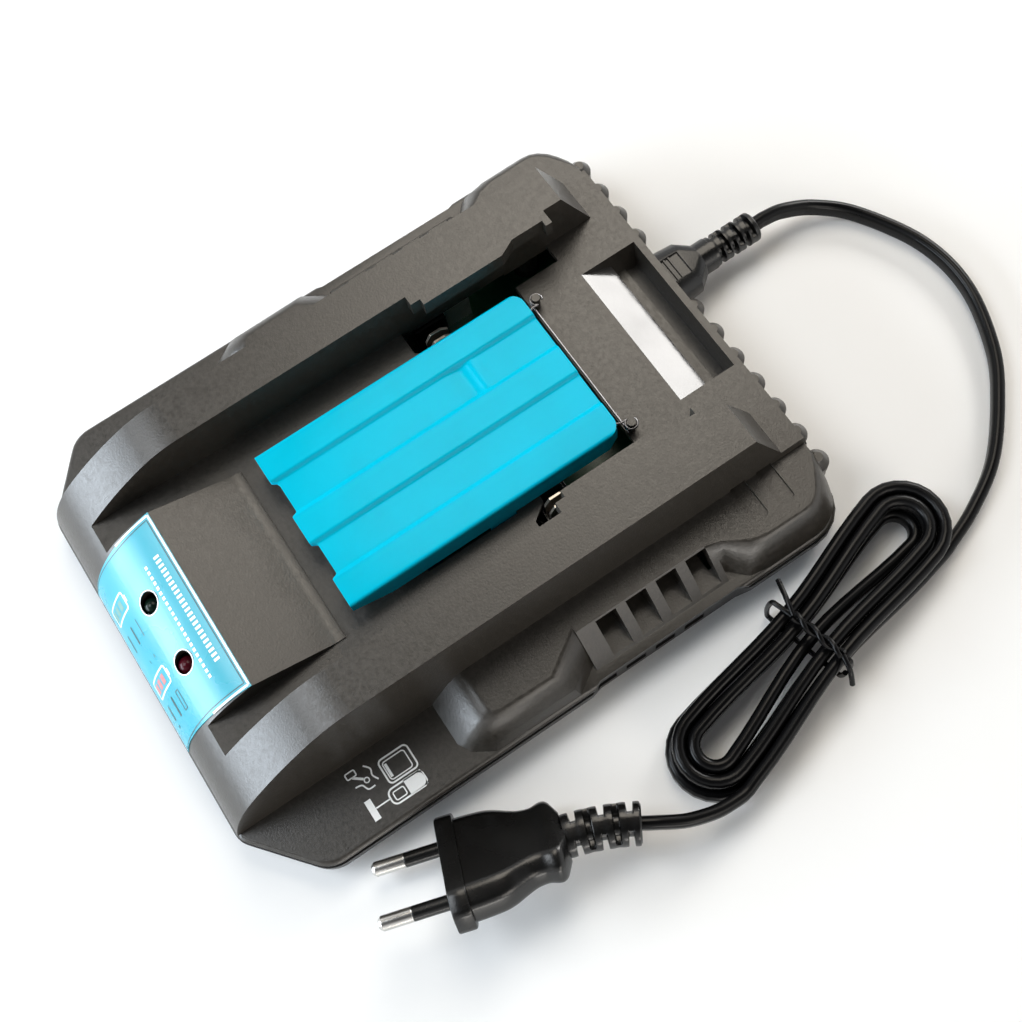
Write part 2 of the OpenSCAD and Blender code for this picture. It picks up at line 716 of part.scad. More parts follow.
module upper_housing() {
    color(shell_grey) from_front() difference() {
        union() {
            difference() {
                outer_shell();
                inner_hollow();
            }
            latch_pocket(wall);
            rail_lips();
            both_sides() {
                for (s = screw_spots) {
                    translate([s.x, s.y, part_z]) cylinder(h = 16, r = screw_d / 2 + 2);
                    translate([s.x + screw_d / 2 + 1, s.y - 0.8, part_z])
                        cube([rail_gap / 2 + rail_top_w - s.x - screw_d / 2, 1.6, 14]);
                }
                translate([post_x, post_y, deck_z - 0.5])
                    cylinder(h = spring_z - deck_z + 1.6, r = post_r);
            }
        }
        contact_pit();
        cover_slots();
        latch_pocket(0);
        both_sides() vent_windows();
        side_steps();
        shoulder_pads();
        inlet_opening();
        lamp_windows();
        both_sides() {
            for (s = screw_spots) {
                translate([s.x, s.y, part_z - cut]) cylinder(h = 14 + cut, r = screw_d / 2);
            }
        }
    }
}

// Opening for the mains inlet, through both shells
module inlet_opening() {
    gap = 0.2;
    translate([inlet_x - inlet_w / 2 - gap, rear_y - wall - 3, inlet_z - inlet_h / 2 - gap])
        cube([inlet_w + 2 * gap, wall + 12, inlet_h + 2 * gap]);
}

// Lower shell: tray with screw posts, board bosses, side slots and a parting groove
module lower_housing() {
    boss_r = screw_d / 2 + 2;
    color(shell_grey) from_front() difference() {
        union() {
            difference() {
                union() {
                    hull() {
                        slab(outline(0), foot_h + 4, part_z - foot_h - 4);
                        slab(outline(1.5), foot_h, 1);
                    }
                    rear_ribs(foot_h, part_z, 0);
                }
                slab(outline(wall + 0.6), foot_h + wall, part_z);
            }
            both_sides() {
                for (s = screw_spots) {
                    translate([s.x, s.y, foot_h + wall / 2])
                        cylinder(h = part_z - foot_h - wall / 2, r = boss_r);
                }
                for (s = board_spots) {
                    translate([s.x, s.y, foot_h + wall / 2])
                        cylinder(h = board_z - foot_h - wall / 2, r = 3);
                }
            }
        }
        both_sides() {
            for (s = screw_spots) {
                translate([s.x, s.y, foot_h - cut])
                    cylinder(h = part_z + cut, r = screw_d / 2 + 0.2);
                translate([s.x, s.y, foot_h - cut]) cylinder(h = 3 + cut, r = screw_d + 0.1);
            }
            for (s = board_spots) {
                translate([s.x, s.y, foot_h + wall]) cylinder(h = board_z, r = 1.1);
            }
            for (s = foot_spots) {
                translate([s.x, s.y, foot_h - cut]) cylinder(h = 0.6 + cut, r = foot_d / 2);
            }
            for (k = [0:vent_n - 1]) {
                translate([half_w - 6, vent_y - 8 + k * (vent_w + fin_t), foot_h + wall])
                    cube([8, vent_w, part_z - foot_h - wall - 1.6]);
            }
        }
        difference() {
            slab(outline(-2), part_z - 0.7, 2);
            slab(outline(0.9), part_z - 1.7, 4);
        }
        side_steps();
        inlet_opening();
    }
}

module rubber_feet() {
    color(black) from_front() both_sides() {
        for (s = foot_spots) {
            translate([s.x, s.y, 0]) cylinder(h = foot_h + 0.6, r = foot_d / 2);
        }
    }
}

// Countersunk-free pan screws that join the shells from below
module housing_screws() {
    color(steel) from_front() both_sides() {
        for (s = screw_spots) {
            translate([s.x, s.y, foot_h + 1]) {
                difference() {
                    cylinder(h = 2, r = screw_d);
                    translate([0, 0, -cut]) cylinder(h = 1 + cut, r = screw_d * 0.35, $fn = 6);
                }
                translate([0, 0, 2]) cylinder(h = 18, r = screw_d / 2);
            }
        }
    }
}

module board_screws() {
    color(steel) from_front() both_sides() {
        for (s = board_spots) {
            translate([s.x, s.y, board_top]) cylinder(h = 1.4, r = 2.4);
            translate([s.x, s.y, foot_h + wall + 0.3])
                cylinder(h = board_top - foot_h - wall - 0.3, r = 1.1);
        }
    }
}

// Curve of the label: the console's front and the arc below it, moved out by d
function label_curve(d) = concat(
    arc(console_c, console_r + d, ridge_angle, 90 + nose_turn[1], 12),
    arc(nose_c3, nose_low_r + d, 90 + nose_turn[1] + nose_step, 180, 15));

// Front label: a thin skin on the console's front, with a window for each lamp
module front_label() {
    inner = label_curve(film_gap);
    outer = label_curve(film_gap + film_t);
    last = len(outer) - 1;
    color(cover_blue) from_front() difference() {
        intersection() {
            across(console_w / 2)
                polygon(concat(inner, [for (i = [last:-1:0]) outer[i]]));
            slab([[-label_low_w / 2, -2], [label_low_w / 2, -2], [console_w / 2, ridge_y],
                  [-console_w / 2, ridge_y]], wing_z + label_foot, body_h);
        }
        lamp_windows();
    }
}

// Windows for the lamps, through the label and the console
module lamp_windows() {
    for (x = lamp_x) {
        translate([x, lamp_y, part_z]) cylinder(h = body_h, r = window_d / 2);
    }
}

// Lamp: round lens with a dome, a rim and two legs down to the board
module lamp() {
    r = lamp_d / 2;
    lens_z = lamp_face_z - lamp_depth - r - 6;
    translate([0, 0, lens_z]) cylinder(h = 1, r = r);
    translate([0, 0, lens_z + 1]) cylinder(h = 5, r = r);
    translate([0, 0, lens_z + 6]) intersection() {
        sphere(r = r);
        cylinder(h = r + cut, r = r + cut);
    }
    for (x = [-1.27, 1.27]) {
        translate([x, 0, board_top]) cylinder(h = lens_z - board_top, r = 0.3);
    }
}

module green_led() {
    color([0.04, 0.09, 0.05]) from_front() translate([lamp_x[0], lamp_y, 0]) lamp();
}

module red_led() {
    color([0.35, 0.03, 0.05]) from_front() translate([lamp_x[1], lamp_y, 0]) lamp();
}

// Sliding cover over the terminals, with raised bands and legs that run in the floor's slots
module terminal_cover() {
    half = cover_w / 2;
    slope = (ridge_z - ramp_foot_z) / (ramp_foot_y - ridge_y);
    front_low = cover_low + slope * 11.8;
    color(cover_blue) from_front() difference() {
        union() {
            translate([-half, cover_y, cover_under]) cube([cover_w, cover_len, cover_t]);
            both_sides() {
                intersection() {
                    across(half) polygon([[cover_y, cover_top - 0.1], [cover_y, front_low],
                        [cover_y + 11.8, cover_low], [cover_rear, cover_low],
                        [cover_rear, cover_top - 0.1]]);
                    translate([half - cover_wall, 0, 0]) cube([cover_wall, body_len, body_h]);
                }
                translate([half - cover_wall, leg_y, under_floor - 2])
                    cube([cover_wall, leg_len, cover_low - under_floor + 2.1]);
                translate([half - cover_wall, leg_y, under_floor - 2])
                    cube([cover_wall + barb, leg_len, 1.2]);
                translate([hook_x, hook_y, spring_z - 1.2])
                    cylinder(h = cover_under - spring_z + 1.3, r = post_r);
            }
        }
        for (b = [[band_edges[0], band_edges[1]], [band_edges[2], band_edges[3]]]) {
            translate([-half + b[0], cover_y - cut, cover_top - band_depth])
                cube([b[1] - b[0], cover_len + 2 * cut, 2]);
            translate([-half + b[0], cover_y - cut, cover_under - cut])
                cube([b[1] - b[0], 1.7 + cut, cover_t + 2 * cut]);
        }
    }
}

// Extension spring: one wire with an eye round each post and an open coil between them
module cover_spring() {
    r = spring_d / 2;
    steps = 8;
    coil_y0 = hook_y + 7;
    coil_y1 = post_y - 7;
    pitch = (coil_y1 - coil_y0) / spring_turns;
    coil = [for (i = [0:spring_turns * steps])
        [spring_x - r * cos(360 * i / steps), coil_y0 + pitch * i / steps,
         spring_z + r * sin(360 * i / steps)]];
    front_eye = [for (a = [-200:36:88]) [hook_x + eye_r * cos(a), hook_y + eye_r * sin(a), spring_z]];
    rear_eye = [for (a = [180:36:480]) [post_x + eye_r * cos(a), post_y + eye_r * sin(a), spring_z]];
    sweep(concat(front_eye, [[spring_x - r + 0.2, coil_y0 - 2, spring_z]], coil,
                 [[spring_x - r + 0.2, coil_y1 + 2, spring_z]], rear_eye),
          round_section(spring_wire / 2, 5));
}

module cover_spring_right() {
    color(steel) from_front() cover_spring();
}

module cover_spring_left() {
    color(steel) from_front() mirror([1, 0, 0]) cover_spring();
}

// Straight wire that lies against the spring posts, just behind the cover
module spring_wire_rod() {
    r = spring_wire / 2;
    color(steel) from_front()
        translate([-post_x - post_r, post_y - post_r - r, floor_z + 1]) rotate([0, 90, 0])
            cylinder(h = 2 * (post_x + post_r), r = r);
}

// Terminal block: stands on the board under the contact pit
block_y = pit_y + 2;
block_top = floor_z - 4;
module terminal_block() {
    half = terminal_gap / 2 + 4;
    color(black) from_front() difference() {
        union() {
            translate([-half, block_y, board_top])
                cube([2 * half, 12, block_top - board_top - 4]);
            translate([-half + 2, block_y + 1.5, board_top])
                cube([2 * half - 4, 9, block_top - board_top]);
        }
        both_sides() {
            for (x = [terminal_gap / 2 - 1.3, terminal_gap / 2 + 1.3]) {
                translate([x - 0.5, block_y + 2, board_top - cut]) cube([1, 8, body_h]);
            }
        }
        for (x = [-9, 0, 9]) {
            translate([x - 0.4, block_y + 3, board_top - cut]) cube([0.8, 6, body_h]);
        }
    }
}

// Power terminals: a pair of upright blades on each side, with cut front corners
module power_terminals() {
    tip = floor_z + terminal_rise;
    color(copper) from_front() both_sides() {
        for (x = [terminal_gap / 2 - 1.3, terminal_gap / 2 + 1.3]) {
            translate([x, 0, 0]) across(0.4)
                polygon([[block_y + 2.3, board_top], [block_y + 9.7, board_top],
                         [block_y + 9.7, tip - 2], [block_y + 7.5, tip],
                         [block_y + 4, tip], [block_y + 2.3, tip - 3]]);
        }
    }
}

module signal_terminals() {
    tip = cover_under - 1.5;
    color(copper) from_front() {
        for (x = [-9, 0, 9]) {
            translate([x, 0, 0]) across(0.3)
                polygon([[block_y + 3.2, board_top], [block_y + 8.8, board_top],
                         [block_y + 8.8, tip - 1.5], [block_y + 7, tip],
                         [block_y + 5, tip], [block_y + 3.2, tip - 1.5]]);
        }
    }
}

module circuit_board() {
    color([0.1, 0.35, 0.2]) from_front() difference() {
        translate([-board_w / 2, board_front, board_z])
            cube([board_w, board_rear - board_front, board_t]);
        both_sides() {
            for (s = screw_spots) {
                translate([s.x, s.y, board_z - cut])
                    cylinder(h = board_t + 2 * cut, r = screw_d / 2 + 2.5);
            }
            for (s = board_spots) {
                translate([s.x, s.y, board_z - cut]) cylinder(h = board_t + 2 * cut, r = 1.3);
            }
            translate([board_w / 2 - 8, board_front - 10, board_z - cut])
                rotate([0, 0, 45]) cube([20, 20, board_t + 2 * cut], center = false);
        }
    }
}

// Transformer: two ferrite halves round a taped bobbin
core_w = 25;
core_len = 22;
core_h = 13;
trafo = [-12, 70];
module transformer_core() {
    leg = 4;
    color([0.2, 0.2, 0.21]) from_front() translate([trafo.x, trafo.y, board_top]) {
        difference() {
            translate([-core_w / 2, -core_len / 2, 0]) cube([core_w, core_len, core_h]);
            both_sides() {
                translate([3.5, -core_len / 2 + leg, -cut])
                    cube([core_w / 2 - 3.5 - leg, core_len - 2 * leg, core_h + 2 * cut]);
            }
        }
    }
}

module transformer_winding() {
    leg = 4;
    gap = 0.2;
    color([0.85, 0.72, 0.2]) from_front() translate([trafo.x, trafo.y, board_top])
        both_sides() {
            translate([3.5 + gap, -core_len / 2 + leg + gap, 0])
                cube([core_w / 2 - 3.5 - leg - 2 * gap, core_len - 2 * (leg + gap), core_h + 1.2]);
        }
}

// A lying can capacitor with a rolled groove
module can(r, len) {
    rotate([-90, 0, 0]) difference() {
        cylinder(h = len, r = r);
        translate([0, 0, 2.5]) rotate_extrude() translate([r, 0]) circle(r = 0.6, $fn = 16);
    }
}

module mains_capacitors() {
    r = 6.2;
    color([0.12, 0.14, 0.3]) from_front() {
        for (x = [24, 24 + 2 * r + 0.6]) {
            translate([x, 56, board_top + r]) can(r, 30);
        }
    }
}

module output_capacitors() {
    r = 5;
    color([0.12, 0.14, 0.3]) from_front() {
        for (x = [-34, -34 - 2 * r - 0.6]) {
            translate([x, 62, board_top + r]) can(r, 20);
        }
    }
}

// Line choke: wound ring lying on the board
module line_choke() {
    color(copper) from_front() translate([8, 99, board_top + 4])
        rotate_extrude() translate([6.5, 0]) circle(r = 4, $fn = 24);
}

module fuse() {
    color(steel) from_front() translate([0, 146, board_top + 2.6]) rotate([0, 90, 0]) {
        translate([0, 0, -10]) cylinder(h = 5, r = 2.6);
        translate([0, 0, -5]) cylinder(h = 10, r = 2.3);
        translate([0, 0, 5]) cylinder(h = 5, r = 2.6);
    }
}

// Heat sinks: finned bars under the rails
sink_x = 41.5;
sink_y = 92;
sink_len = 44;
module heat_sinks() {
    color([0.72, 0.73, 0.75]) from_front() both_sides() {
        difference() {
            translate([sink_x, sink_y, board_top]) cube([6, sink_len, 26]);
            for (k = [0:8]) {
                translate([sink_x + 2, sink_y + 2 + k * 5, board_top + 2]) cube([5, 2.4, 30]);
            }
        }
    }
}

// Power transistors: flat packages against the heat sinks, with their legs in the board
module power_transistors() {
    w = 10;
    t = 4.5;
    color(black) from_front() both_sides() {
        for (y = [sink_y + 4, sink_y + 24]) {
            translate([sink_x - t, y, board_top + 4]) cube([t, w, 12]);
            for (k = [-1:1]) {
                translate([sink_x - t / 2 - 0.3, y + w / 2 + 2.5 * k - 0.4, board_top])
                    cube([0.6, 0.8, 4]);
            }
        }
    }
}

// Oblong with round ends, upright in the x-z plane
module oblong(w, h) {
    for (x = [-1, 1]) {
        translate([x * (w - h) / 2, 0]) circle(r = h / 2);
    }
    square([w - h, h], center = true);
}

// Mains inlet: a block with an oblong socket
module mains_inlet() {
    color(black) from_front() difference() {
        translate([inlet_x - inlet_w / 2, inlet_front - inlet_depth, inlet_z - inlet_h / 2])
            cube([inlet_w, inlet_depth, inlet_h]);
        translate([inlet_x, 0, inlet_z])
            lengthwise(inlet_front - socket_depth, inlet_front + cut) oblong(socket_w, socket_h);
        for (x = [-inlet_pitch / 2, inlet_pitch / 2]) {
            translate([inlet_x + x, inlet_front - inlet_depth - cut, inlet_z]) rotate([-90, 0, 0])
                cylinder(h = inlet_depth, r = 1.2);
        }
    }
}

// Inlet pins, bent down to the board behind the block
module inlet_pins() {
    tail_y = board_rear - 2;
    color(steel) from_front() {
        for (x = [-inlet_pitch / 2, inlet_pitch / 2]) {
            translate([inlet_x + x, tail_y - 1.2, inlet_z]) rotate([-90, 0, 0])
                cylinder(h = inlet_front - tail_y - 1, r = 1.2);
            translate([inlet_x + x, tail_y, board_top]) cylinder(h = inlet_z - board_top, r = 1);
        }
    }
}

// Connector: a nose in the inlet, a wide grip with a ribbed pocket on each face, and a neck
module cord_connector() {
    wide = inlet_w + 0.6;
    neck_y = grip_start + grip_len * 0.74;
    waist_y = grip_start + grip_len * 0.5;
    color(black) from_front() difference() {
        translate([inlet_x, 0, inlet_z]) union() {
            lengthwise(inlet_front - socket_depth + 1, grip_start + 0.1)
                oblong(socket_w - 2 * nose_fit, socket_h - 2 * nose_fit);
            difference() {
                union() {
                    hull() {
                        lengthwise(grip_start, grip_start + 0.1) oblong(wide, grip_h);
                        lengthwise(waist_y - 0.1, waist_y) oblong(wide - 1.4, grip_h - 0.8);
                    }
                    hull() {
                        lengthwise(waist_y - 0.1, waist_y) oblong(wide - 1.4, grip_h - 0.8);
                        lengthwise(neck_y, neck_y + 0.1) oblong(sleeve_w + 1, sleeve_h + 1);
                    }
                }
                for (z = [-1, 1]) {
                    translate([-pocket_w / 2, grip_start + 1.5, z * grip_h / 2 - 1])
                        cube([pocket_w, waist_y - grip_start - 2.5, 2]);
                }
            }
            for (y = [grip_start + 2.4, grip_start + 4]) {
                translate([-pocket_w / 2 - 0.1, y, -grip_h / 2 + 0.5])
                    cube([pocket_w + 0.2, 0.6, grip_h - 1]);
            }
            lengthwise(neck_y, grip_end) oblong(sleeve_w + 0.6, sleeve_h + 0.6);
        }
        for (x = [-inlet_pitch / 2, inlet_pitch / 2]) {
            translate([inlet_x + x, inlet_front - socket_depth, inlet_z]) rotate([-90, 0, 0])
                cylinder(h = socket_depth, r = 1.25);
        }
    }
}

// Sleeve with slots that alternate between its sides and its faces
module connector_sleeve() {
    step = sleeve_len / (slot_n + 1);
    color(black) from_front() translate([inlet_x, grip_end, inlet_z]) {
        lengthwise(0, sleeve_len) oblong(cord_t + 1.4, cord_h + 1);
        difference() {
            lengthwise(0, sleeve_len) oblong(sleeve_w, sleeve_h);
            for (k = [0:slot_n - 1], side = [-1, 1]) {
                across_x = k % 2 == 0;
                translate([across_x ? side * sleeve_w / 2 : 0, (k + 0.9) * step,
                           across_x ? 0 : side * sleeve_h / 2])
                    cube([across_x ? sleeve_w * 0.6 : sleeve_w * 0.75, slot_w,
                          across_x ? sleeve_h * 0.8 : sleeve_h * 0.6], center = true);
            }
        }
    }
}

lead_start = [inlet_x, sleeve_end - body_len / 2, inlet_z];
lead_points = smooth(concat([lead_start, lead_start + [0, 2, 0]], lead_route,
    [hank_points[0] - 4 * along(hank_points, 0), hank_points[0]]), 5);
module cord_lead() {
    color(black) sweep(lead_points, lead_section);
}

module cord_hank() {
    color(black) sweep(hank_points, hank_section);
}

// Where the cord enters the plug's sleeve
function turned(p, a) = [p.x * cos(a) - p.y * sin(a), p.x * sin(a) + p.y * cos(a)];
plug_back = collar_len + plug_body_len;
sleeve_r = plug_sleeve_len / (plug_sleeve_bend * PI / 180);
sleeve_tip = turned([-plug_back - sleeve_r * sin(plug_sleeve_bend),
                     sleeve_r * (1 - cos(plug_sleeve_bend))], plug_heading);
tail_end = [plug_place.x + sleeve_tip.x, plug_place.y + sleeve_tip.y, plug_axis_z];
tail_dir = -dir(plug_heading - plug_sleeve_bend);
hank_last = len(hank_points) - 1;
tail_points = smooth(concat([hank_points[hank_last],
    hank_points[hank_last] + 4 * along(hank_points, hank_last)], tail_route,
    [tail_end + 4 * [tail_dir.x, tail_dir.y, 0], tail_end]), 4);
module cord_tail() {
    color(black) sweep(tail_points, lead_section);
}

// Wire tie: a loop round the waist of the hank, with its twisted ends across the top
module twist_tie() {
    r = tie_d / 2;
    half = hank_outer_r - hank_waist + cord_t / 2 + r + 0.25;
    low = r + 0.05;
    high = layer_z[1] + cord_h / 2 + hank_lift + r + 0.2;
    bend = 3;
    loop = rounded([[-half, low, bend], [half, low, bend], [half, high, bend],
                    [-half, high, bend]], 4);
    k = len(loop);
    points = [for (i = [0:k]) let (p = loop[i % k])
        [r * 1.6 * i / k, p.x, p.y]];
    twist_n = 20;
    twist = [for (side = [0, 180]) [for (i = [0:twist_n])
        let (t = i / twist_n, a = side + 540 * t, q = r * 1.15)
        [r + q * cos(a), half * (0.75 - 1.2 * t), high + r * 2.1 + q * sin(a)]]];
    ends = [[[r, -half * 0.45, high + r * 2], [-2, -half * 0.8, high + 1.5],
             [-5, -half * 1.15, high - 0.5]],
            [[r, half * 0.75, high + r * 2], [2.5, half * 1.05, high],
             [4, half * 1.25, high - 4]]];
    section = round_section(r, 8);
    color(black) {
        sweep([for (p = points) hank_place(p)], section);
        for (t = twist) {
            sweep([for (p = t) hank_place(p)], section);
        }
        for (e = ends) {
            sweep([for (p = smooth(e, 4)) hank_place(p)], section);
        }
    }
}

// Puts what is drawn along +X, pins forward, where the plug lies
module at_plug() {
    translate([plug_place.x, plug_place.y, plug_axis_z]) rotate([0, 0, plug_heading])
        rotate([plug_tilt, 0, 0]) children();
}

// Extrudes a y-z outline along the plug, from x0 to x1
module plug_slice(x0, x1) {
    translate([x0, 0, 0]) rotate([90, 0, 90]) linear_extrude(x1 - x0) children();
}

// Six-sided outline of the plug, scaled across and through
module plug_outline(w, t) {
    flat = plug_flat / plug_w * w;
    side = plug_side / plug_t * t;
    polygon([[-w / 2, -side / 2], [-flat / 2, -t / 2], [flat / 2, -t / 2], [w / 2, -side / 2],
             [w / 2, side / 2], [flat / 2, t / 2], [-flat / 2, t / 2], [-w / 2, side / 2]]);
}

// One stage of the plug's body, between two stations [distance back, width, thickness]
module plug_stage(front, back) {
    hull() {
        plug_slice(-front[0] - 0.1, -front[0]) plug_outline(front[1], front[2]);
        plug_slice(-back[0], -back[0] + 0.1) plug_outline(back[1], back[2]);
    }
}

// Plug: a collar, then a body that narrows to a waist and flares again at its end
module mains_plug() {
    far = collar_len + plug_body_len;
    stations = [[collar_len, plug_w - 3.6, plug_t - 1.6], [far - 18, plug_w - 4.5, plug_t - 1.7],
                [far - 8, waist_w, plug_t - 3.1], [far - 3.5, waist_w + 2.4, plug_t - 2.7],
                [far, waist_w - 8.4, plug_t - 4.7]];
    color(black) at_plug() difference() {
        union() {
            plug_slice(-collar_len, 0) plug_outline(plug_w, plug_t);
            for (i = [0:len(stations) - 2]) {
                plug_stage(stations[i], stations[i + 1]);
            }
        }
        for (y = [-pin_pitch / 2, pin_pitch / 2]) {
            translate([-8, y, 0]) rotate([0, 90, 0]) cylinder(h = 8 + cut, r = pin_d / 2 - 0.5);
        }
    }
}

// Plug sleeve: bends with the cord, with slots that alternate between its sides and its faces
module plug_sleeve() {
    rings = 5;
    step = plug_sleeve_bend / (rings + 0.6);
    color(black) translate([plug_place.x, plug_place.y, plug_axis_z]) rotate([0, 0, plug_heading])
        translate([-plug_back, sleeve_r, 0]) {
            bent_bar(cord_t + 3, cord_h + 1);
            difference() {
                bent_bar(ring_w, ring_h);
                for (k = [0:rings - 1], side = [-1, 1]) {
                    on_side = k % 2 == 0;
                    rotate([0, 0, -step * (k + 0.8)])
                        translate([0, -sleeve_r + (on_side ? side * ring_w / 2 : 0),
                                   on_side ? 0 : side * ring_h / 2])
                            cube([1.7, on_side ? ring_w * 0.55 : ring_w * 0.7,
                                  on_side ? ring_h * 0.9 : ring_h * 0.5], center = true);
                }
            }
        }
}

// Bar with rounded corners round the sleeve's bend
module bent_bar(w, h) {
    rotate_extrude(angle = plug_sleeve_bend, start = -90 - plug_sleeve_bend)
        translate([sleeve_r, 0]) sleeve_ring(w, h);
}

// Rounded ring of the plug's sleeve
module sleeve_ring(w, h) {
    r = min(w, h) / 4;
    polygon(rounded([[-w / 2, -h / 2, r], [w / 2, -h / 2, r], [w / 2, h / 2, r],
                     [-w / 2, h / 2, r]], 3));
}

// Plug pins: bright tips on thinner cores that run back into the body
module plug_pins() {
    tip = pin_len - pin_sleeve_len;
    color(steel) at_plug() {
        for (y = [-pin_pitch / 2, pin_pitch / 2]) {
            translate([-7.5, y, 0]) rotate([0, 90, 0])
                cylinder(h = 7.6 + pin_sleeve_len, r = pin_d / 2 - 0.5);
            translate([pin_sleeve_len, y, 0]) rotate([0, 90, 0]) cylinder(h = tip - 1, r = pin_d / 2);
            translate([pin_len - 1, y, 0]) rotate([0, 90, 0])
                cylinder(h = 1, r1 = pin_d / 2, r2 = pin_d / 2 - 0.8);
        }
    }
}

module pin_sleeves() {
    color(black) at_plug() {
        for (y = [-pin_pitch / 2, pin_pitch / 2]) {
            translate([0, y, 0]) rotate([0, 90, 0]) difference() {
                cylinder(h = pin_sleeve_len, r = pin_d / 2);
                translate([0, 0, -cut])
                    cylinder(h = pin_sleeve_len + 2 * cut, r = pin_d / 2 - 0.5);
            }
        }
    }
}

upper_housing();
lower_housing();
rubber_feet();
housing_screws();
board_screws();
front_label();
green_led();
red_led();
terminal_cover();
cover_spring_left();
cover_spring_right();
spring_wire_rod();
terminal_block();
power_terminals();
signal_terminals();
circuit_board();
transformer_core();
transformer_winding();
mains_capacitors();
output_capacitors();
line_choke();
fuse();
heat_sinks();
power_transistors();
mains_inlet();
inlet_pins();
cord_connector();
connector_sleeve();
cord_lead();
cord_hank();
cord_tail();
twist_tie();
mains_plug();
plug_sleeve();
plug_pins();
pin_sleeves();
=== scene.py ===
# %% [markdown]
# # A battery charger on a table
#
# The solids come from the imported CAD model, in metres. This script dresses them: the camera
# first, then the mains lead, the table and lamps, and then each surface of the charger.

# %% Load the model
import math

import bmesh
import bpy
import numpy as np
from mathutils import Matrix, Vector


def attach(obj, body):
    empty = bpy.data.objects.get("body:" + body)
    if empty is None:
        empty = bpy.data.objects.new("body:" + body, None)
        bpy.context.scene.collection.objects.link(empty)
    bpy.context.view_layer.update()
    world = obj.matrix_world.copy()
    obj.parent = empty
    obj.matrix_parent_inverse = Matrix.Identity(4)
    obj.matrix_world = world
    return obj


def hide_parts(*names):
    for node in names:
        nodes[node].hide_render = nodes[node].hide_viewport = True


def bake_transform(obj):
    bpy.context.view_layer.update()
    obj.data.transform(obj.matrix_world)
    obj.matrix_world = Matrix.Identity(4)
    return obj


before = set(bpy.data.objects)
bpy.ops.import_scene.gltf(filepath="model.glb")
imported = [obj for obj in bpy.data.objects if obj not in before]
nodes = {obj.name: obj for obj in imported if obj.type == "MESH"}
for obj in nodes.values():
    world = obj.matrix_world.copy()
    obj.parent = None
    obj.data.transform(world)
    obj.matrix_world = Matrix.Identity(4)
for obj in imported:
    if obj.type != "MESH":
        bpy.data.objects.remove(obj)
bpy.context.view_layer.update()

scene = bpy.context.scene
MM = 0.001
print("nodes", len(nodes))

# %% [markdown]
# ## Camera
#
# The place, the direction and the lens were solved from straight edges of the body. A camera in
# Blender looks down its own -Z with +Y up, so the three columns of its matrix are the picture's
# right, its up and the way back to the lens.

# %% Camera
picture_right = Vector((0.55115, 0.83043, -0.08133))
picture_down = Vector((0.77175, -0.54439, -0.32870))
camera_place = Vector((0.13920, -0.02961, 0.36709))
focal_pixels = 1342.86
picture_pixels = 1022

camera = bpy.data.objects.new("camera", bpy.data.cameras.new("camera"))
scene.collection.objects.link(camera)
towards_lens = picture_right.cross(-picture_down)
camera_turn = Matrix((picture_right, -picture_down, towards_lens)).transposed()
camera.matrix_world = Matrix.Translation(camera_place) @ camera_turn.to_4x4()
camera.data.sensor_width = 36
camera.data.sensor_fit = "HORIZONTAL"
camera.data.lens = 36 * focal_pixels / picture_pixels
camera.data.clip_start = 0.01
scene.camera = camera
print("lens", round(camera.data.lens, 2))

# %% [markdown]
# ## Helpers for surfaces
#
# Every new shape is a grid of points. Rows follow one parameter and columns the other, and each
# small cell of the grid becomes one face. A tube is the same grid with a section carried along
# a path.

# %% Grid to mesh
def keep(mesh_name, points, faces):
    """A mesh object at the origin from an array of points and a list of faces."""
    mesh = bpy.data.meshes.new(mesh_name)
    mesh.from_pydata(np.asarray(points, float).reshape(-1, 3).tolist(), [],
                     [list(map(int, f)) for f in faces])
    piece = bpy.data.objects.new(mesh_name, mesh)
    scene.collection.objects.link(piece)
    return piece


def cells(rows, columns, round_columns=True):
    """The four corners of every cell: (i, j), (i, j+1), (i+1, j+1), (i+1, j), j by modulo."""
    i, j = np.meshgrid(np.arange(rows - 1),
                       np.arange(columns if round_columns else columns - 1), indexing="ij")
    i, j = i.ravel(), j.ravel()
    i2, j2 = i + 1, (j + 1) % columns
    return np.stack([i * columns + j, i * columns + j2, i2 * columns + j2, i2 * columns + j], 1)


def point_outwards(piece):
    """Turns all the faces of a closed mesh outwards."""
    work = bmesh.new()
    work.from_mesh(piece.data)
    bmesh.ops.recalc_face_normals(work, faces=work.faces)
    work.to_mesh(piece.data)
    work.free()


def smooth_below(piece, angle):
    """Shades smooth, but keeps edges sharper than the angle."""
    piece.data.shade_smooth()
    piece.data.set_sharp_from_angle(angle=math.radians(angle))


def closed(name, points, faces, angle):
    """A mesh object whose faces all look outwards, smooth below the angle."""
    piece = keep(name, points, faces)
    point_outwards(piece)
    smooth_below(piece, angle)
    return piece


def skin_faces(rows, columns):
    """Faces of a closed skin over rings of equal count, with a flat face at each end."""
    ends = [list(range(columns))[::-1], list(range((rows - 1) * columns, rows * columns))]
    return cells(rows, columns).tolist() + ends


def loft(name, rings, angle):
    """A closed skin over rings, given as rows x columns x 3."""
    return closed(name, rings, skin_faces(*rings.shape[:2]), angle)


def stands_for(piece, body, slot, *node_names):
    """The piece takes the place of CAD nodes and rides on a body; its slot is not used."""
    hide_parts(*node_names)
    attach(piece, body)


# %% Sections and paths
def unit(v):
    """Vectors divided by their own length."""
    return v / np.linalg.norm(v, axis=-1, keepdims=True)


def headings(path):
    """Direction at each point: the next point minus the one before."""
    return unit(np.concatenate([path[1:2] - path[:1], path[2:] - path[:-2],
                                path[-1:] - path[-2:-1]]))


